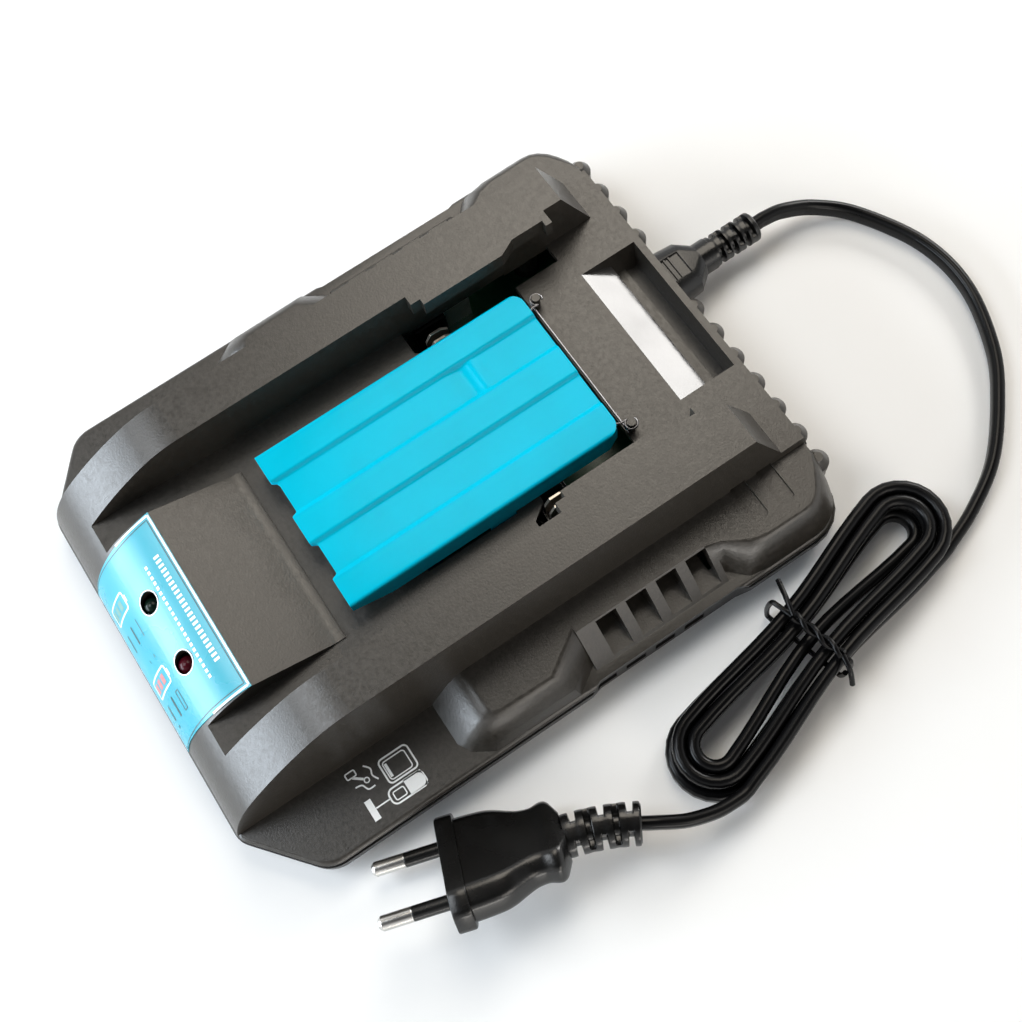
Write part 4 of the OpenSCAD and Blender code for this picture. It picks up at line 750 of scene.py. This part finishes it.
# %% Stations of the plug
# back from the face, half width, half width of the flats, half thickness
collar = np.array([[0, 17.2, 12.7, 6.4], [0.15, 17.5, 12.95, 6.7], [0.45, 17.65, 13.05, 6.85],
                   [4.5, 17.65, 13.05, 6.85], [4.85, 17.5, 12.95, 6.7], [5.0, 17.1, 12.6, 6.35]])
grip = np.array([[5.05, 15.9, 11.8, 6.05], [9, 15.7, 11.6, 6.05], [13, 15.3, 11.3, 6.0],
                 [16, 14.4, 10.6, 5.8], [19, 12.9, 9.5, 5.5], [22, 11.6, 8.5, 5.3],
                 [25, 11.3, 8.2, 5.25], [27.4, 12.1, 8.6, 5.5], [28.8, 12.2, 8.6, 5.5],
                 [30, 11.3, 8.0, 5.25], [31, 9.2, 6.5, 4.9], [32, 6.6, 4.7, 4.5]])
stations = np.vstack([collar, eased(grip, 5)])
side_share = 0.4753


def plug_rings(stations, ease=1.3, steps=5):
    """Eight corners per station, each rounded by a parabola between points on its two edges."""
    w, f, t = stations[:, 1], stations[:, 2], stations[:, 3]
    s = side_share * t
    corner = np.stack([np.stack(c, 1) for c in ((w, s), (f, t), (-f, t), (-w, s), (-w, -s),
                                                (-f, -t), (f, -t), (w, -s))], 1)
    before, after = np.roll(corner, 1, 1) - corner, np.roll(corner, -1, 1) - corner
    a, b = corner + unit(before) * ease, corner + unit(after) * ease
    k = np.linspace(0, 1, steps)[:, None]
    curve = ((1 - k) ** 2 * a[:, :, None] + 2 * k * (1 - k) * corner[:, :, None]
             + k ** 2 * b[:, :, None])
    return curve.reshape(len(stations), -1, 2)


def at_plug(points):
    """Tilts by the plug's lie, turns to its heading and moves to its place, from x forward."""
    c, s = math.cos(plug_tilt), math.sin(plug_tilt)
    x, y, z = points[..., 0], points[..., 1], points[..., 2]
    y, z = y * c - z * s, y * s + z * c
    c, s = math.cos(plug_heading), math.sin(plug_heading)
    return np.stack([plug_place[0] + x * c - y * s, plug_place[1] + x * s + y * c,
                     plug_axis_z + z], -1)


# %% Plug body
outline = plug_rings(stations)
behind = np.broadcast_to(-stations[:, None, :1], outline.shape[:2] + (1,))
plug_body = loft("plug_body", at_plug(np.concatenate([behind, outline], -1)) * MM, angle=32)
dress(plug_body, black_plastic)
stands_for(plug_body, "housing", "black_plastic", "mains_plug")
moulded_copy("plug_pins", "plug_pins_moulded", "housing", 0.0002, "steel", 50)
moulded_copy("pin_sleeves", "pin_sleeves_moulded", "housing", 0.0001, "black_plastic", 50)
print("plug rings", outline.shape)

# %% [markdown]
# ## Bend reliefs
#
# A soft sleeve where the lead enters each end keeps it from kinking. Short deep slots alternate
# between its flanks and its two faces, and the ribs between them are round.

# %% Slotted sleeve
def slotted_sleeve(path, width, height, slots, pitch, first, slot=1.5, depth=0.42, count=72):
    """An oblong times 1 - 0.02 cos^2(pi (s - first) / pitch), less the depth inside each slot."""
    s = np.concatenate([[0], np.cumsum(np.linalg.norm(np.diff(path, axis=0), axis=1))])
    outline = stadium(width, height, count)
    a = np.arctan2(outline[:, 1] / height, outline[:, 0] / width)
    size = 1 - 0.02 * np.cos(np.pi * (s - first) / pitch) ** 2
    size = size * (1 - 0.12 * eased_step((s - s[-1] + 0.5) / 0.5))
    cut = np.zeros((len(s), count))
    for k in range(slots):
        along = eased_step((slot / 2 - np.abs(s - first - k * pitch)) / 0.3 + 0.5)
        reach = np.abs(np.cos(a)) if k % 2 == 0 else np.abs(np.sin(a))
        cut = np.maximum(cut, along[:, None] * eased_step((reach - 0.42) / 0.12))
    return outline * (size[:, None] * (1 - depth * cut))[..., None]


swing = np.linspace(0, plug_bend, 181)
ahead, aside = -plug_back - sleeve_r * np.sin(swing), sleeve_r * (1 - np.cos(swing))
cos_h, sin_h = math.cos(plug_heading), math.sin(plug_heading)
plug_axis = np.stack([plug_place[0] + ahead * cos_h - aside * sin_h,
                      plug_place[1] + ahead * sin_h + aside * cos_h, 0 * ahead + plug_axis_z], 1)
plug_relief = loft("plug_relief", carried(plug_axis, slotted_sleeve(
    plug_axis, 11.4, 9.8, 5, plug_sleeve_len / 5.6, 2.9)) * MM, angle=50)
corners = np.array(nodes["connector_sleeve"].bound_box) / MM
low, high = corners.min(0), corners.max(0)
size, mid = high - low, (low + high) / 2
axis_y = np.linspace(low[1], high[1], 161)
connector_axis = np.stack([0 * axis_y + mid[0], axis_y, 0 * axis_y + mid[2]], 1)
connector_relief = loft("connector_relief", carried(connector_axis, slotted_sleeve(
    connector_axis, size[0], size[2], 6, size[1] / 7, 2.1)) * MM, angle=50)
for relief, node_name in ((plug_relief, "plug_sleeve"), (connector_relief, "connector_sleeve")):
    dress(relief, black_plastic)
    stands_for(relief, "housing", "black_plastic", node_name)
print("reliefs", len(plug_relief.data.polygons), "faces")

# %% [markdown]
# ## Wire tie
#
# The hank is held by a plastic-covered wire: one loop round its waist, whose ends are twisted
# together across the top.

# %% Tie round the hank
tie_r = tie_d / 2
tie_half = hank_outer_r - hank_waist + cord_thick / 2 + tie_r + 0.25
tie_low = tie_r + 0.05
tie_high = layer_z[1] + cord_wide / 2 + tie_lift + tie_r + 0.2
a = np.linspace(0, 2 * np.pi, 65)
box = 3.0                               # radius of the loop's four corners
loop_v = (tie_half - box) * np.clip(1.6 * np.cos(a), -1, 1) + box * np.cos(a)
mid_z, half_z = (tie_low + tie_high) / 2, (tie_high - tie_low) / 2
loop_z = mid_z + (half_z - box) * np.clip(1.6 * np.sin(a), -1, 1) + box * np.sin(a)
k = np.linspace(0, 1, 61)
strand_r = tie_r * 1.15                 # how far each twisted end runs from their common middle
twist = []
for side in (0, np.pi):
    winding = side + 3 * np.pi * k
    twist.append(to_table(tie_r + strand_r * np.cos(winding), tie_half * (0.75 - 1.2 * k),
                          tie_high + tie_r * 2.1 + strand_r * np.sin(winding)))
run_a = eased([(tie_r, -tie_half * 0.45, tie_high + tie_r * 2),
               (-2, -tie_half * 0.8, tie_high + 1.5), (-5, -tie_half * 1.15, tie_high - 0.5)], 8)
run_b = eased([(tie_r, tie_half * 0.75, tie_high + tie_r * 2), (2.5, tie_half * 1.05, tie_high),
               (4, tie_half * 1.25, tie_high - 4)], 8)
along_hank = (math.cos(hank_axis), math.sin(hank_axis), 0)
tie_section = disc(tie_r, 12)
parts = [tube(to_table(0.3 * a, loop_v, loop_z), tie_section, along_hank)]
parts += [tube(t, tie_section) for t in twist]
parts += [tube(to_table(*run.T), tie_section) for run in (run_a, run_b)]
points, faces = together(parts)
wire_tie = closed("wire_tie", points * MM, faces, 50)
dress(wire_tie, cord_rubber)
stands_for(wire_tie, "housing", "cord_rubber", "twist_tie")
print("tie", round(2 * tie_half, 1), "mm wide")

# %% [markdown]
# ## Printed marks
#
# The label and the wing carry plain printed marks: a border, gauge ticks, a small battery beside
# each lamp, and a drawing of a battery over its charger. Ink has no height to speak of, so each
# mark is a flat band of ink that lies a few hundredths of a millimetre over the surface.

# %% Bands of ink
def line(*points):
    """A straight run through the given points, with a point every 0.8 mm."""
    p = np.asarray(points, float)
    runs = [np.linspace(a, b, max(2, int(np.linalg.norm(b - a) / 0.8) + 1))[:-1]
            for a, b in zip(p[:-1], p[1:])]
    return np.concatenate(runs + [p[-1:]])


def frame_line(x0, y0, x1, y1, r):
    """A closed rectangle with rounded corners of radius r."""
    a = np.linspace(0, np.pi / 2, 7)
    mids = np.array([(x1 - r, y1 - r), (x0 + r, y1 - r), (x0 + r, y0 + r), (x1 - r, y0 + r)])
    arcs = [m + r * np.stack([np.cos(a + q), np.sin(a + q)], 1)
            for m, q in zip(mids, np.arange(4) * np.pi / 2)]
    return line(*np.concatenate(arcs + [arcs[0][:1]]))


def ink(path, width):
    """Points and faces of a band: each point of the path moved half a width to either side."""
    path = np.asarray(path, float)
    t = headings(path)
    if np.allclose(path[0], path[-1]):
        t[0] = t[-1] = unit(path[1] - path[-2])
    side = np.stack([-t[:, 1], t[:, 0]], 1) * width / 2
    return (np.stack([path - side, path + side], 1).reshape(-1, 2),
            cells(len(path), 2, round_columns=False).tolist())


CONSOLE_R, RIDGE, TURN, LIP_R = 35.0, math.radians(100.988), math.radians(130), 31.0
console_mid, lip_mid = np.array((33.5713, 1.442)), np.array((31.0, 4.506))


def on_label(p, lift=0.33):
    """x across and s down from the ridge, along the console's arc and then the lip's arc."""
    s = p[:, 1]
    first_arc = CONSOLE_R * (TURN - RIDGE)
    a1 = RIDGE + s / CONSOLE_R
    a2 = TURN + (s - first_arc) / LIP_R
    upper = console_mid + (CONSOLE_R + lift) * np.stack([np.cos(a1), np.sin(a1)], 1)
    lower = lip_mid + (LIP_R + lift) * np.stack([np.cos(a2), np.sin(a2)], 1)
    yz = np.where((s <= first_arc)[:, None], upper, lower)
    return np.stack([p[:, 0], yz[:, 0] + SHIFT, yz[:, 1]], 1)


def on_wing(p, lift=0.04):
    """x and the distance from the front lip, on the flat wing 12 mm above the table."""
    return np.stack([p[:, 0], p[:, 1] + SHIFT, 0 * p[:, 0] + 12 + lift], 1)


def printed(name, marks, place, material):
    """All marks of one ink on one surface as a single piece that rides on the housing."""
    points, faces = together(marks)
    piece = keep(name, place(points) * MM, faces)
    dress(piece, material)
    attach(piece, "housing")


# %% Label marks
def battery(x, s, wide, tall):
    """A standing battery: a round-cornered case and a nub on its upper end."""
    return [ink(frame_line(x, s, x + wide, s + tall, 0.8), 0.55),
            ink(line((x + wide * 0.3, s - 0.55), (x + wide * 0.7, s - 0.55)), 0.8)]


edge = 27.9                             # half the label's width at its border
white_marks = [ink(line((-edge, 0.5), (edge, 0.5)), 0.65),
               ink(line((-edge + 0.1, 0.7), (-edge + 0.35, 13.5)), 0.65),
               ink(line((edge - 0.1, 0.7), (edge - 0.35, 13.5)), 0.65),
               ink(line((-26, 36.2), (26, 36.2)), 0.5)]
white_marks += [ink(line((x, 3.4), (x, 5.2)), 0.8) for x in np.linspace(-16.5, 17, 24)]
white_marks += [ink(line((x, 8.5), (x + 1.0, 8.5)), 0.9) for x in np.linspace(-16.5, 18.8, 22)]
white_marks += battery(-17.6, 20.8, 5.2, 10.8) + battery(6.8, 20.8, 5.2, 10.8)
around = np.linspace(0, 2 * np.pi, 41)
lamp_ring = np.stack([np.cos(around), np.sin(around)], 1)
white_marks += [ink((x, 13.46) + 3.35 * lamp_ring, 0.35) for x in (-8.25, 11.25)]
dark_marks = [ink(line((-26.4, 34.5), (-26.3, 13.5), (-26.8, 1.35), (26.8, 1.35), (26.3, 13.5),
                       (26.4, 34.5)), 0.28),
              ink(frame_line(15, 20.5, 20.8, 21.9, 0.2), 0.3),
              ink(line((14.6, 25.2), (20.6, 25.2)), 0.9),
              ink(line((15, 30), (19.4, 30)), 0.9), ink(line((21.1, 30), (21.9, 30)), 0.8)]
dark_marks += [ink(line((-8.6, s), (-3.0, s)), w) for s, w in ((21.2, 0.3), (25.2, 0.8), (30, 0.8))]
dark_marks += [ink(line((2.6, s), (3.6, s)), 0.3) for s in (21.8, 25.2)]
cell_marks = [ink(line((-16.4, s), (-13.6, s)), 2.0) for s in (24.0, 26.9, 29.8)]
red_marks = [ink(line((8.0, s), (10.8, s)), 2.0) for s in (24.0, 26.9, 29.8)]
for name, marks, material in (("label_white", white_marks, white_ink),
                              ("label_dark", dark_marks, dark_ink),
                              ("label_cells", cell_marks, green_ink),
                              ("label_red", red_marks, red_ink)):
    printed(name, marks, on_label, material)
print("label marks", len(white_marks) + len(dark_marks))

# %% Wing drawing
curl = eased([(56.5, 38.0), (58.2, 39.3), (60.0, 38.9), (61.8, 39.8)], 8)
curl_low = eased([(60.4, 33.4), (60.8, 35.2), (62.6, 36.2), (62.7, 38.2)], 8)
drawing = [ink(frame_line(57.8, 41.7, 64.9, 50.6, 1.2), 0.5),
           ink(frame_line(58.8, 42.5, 64.1, 49.3, 0.8), 0.35),
           ink(line((59.4, 43.2), (63.4, 43.2)), 0.8),
           ink(line((68.0, 50.2), (68.0, 44.9)), 4.4),
           ink(frame_line(65.9, 39.7, 70.3, 50.4, 1.6), 0.5),
           ink(frame_line(67.0, 40.9, 69.4, 44.2, 0.5), 0.35),
           ink(line((68.0, 39.6), (68.0, 35.2)), 0.4),
           ink(line((64.9, 34.2), (70.9, 34.2)), 1.9),
           ink(curl, 0.45), ink(curl_low, 0.45),
           ink(frame_line(55.9, 32.6, 57.6, 35.4, 0.4), 0.4),
           ink(line((57.7, 34.0), (59.6, 36.4)), 0.7),
           ink((60.3, 37.0) + 0.7 * lamp_ring, 0.35)]
printed("wing_drawing", drawing, on_wing, white_ink)
print("drawing", len(drawing), "marks")
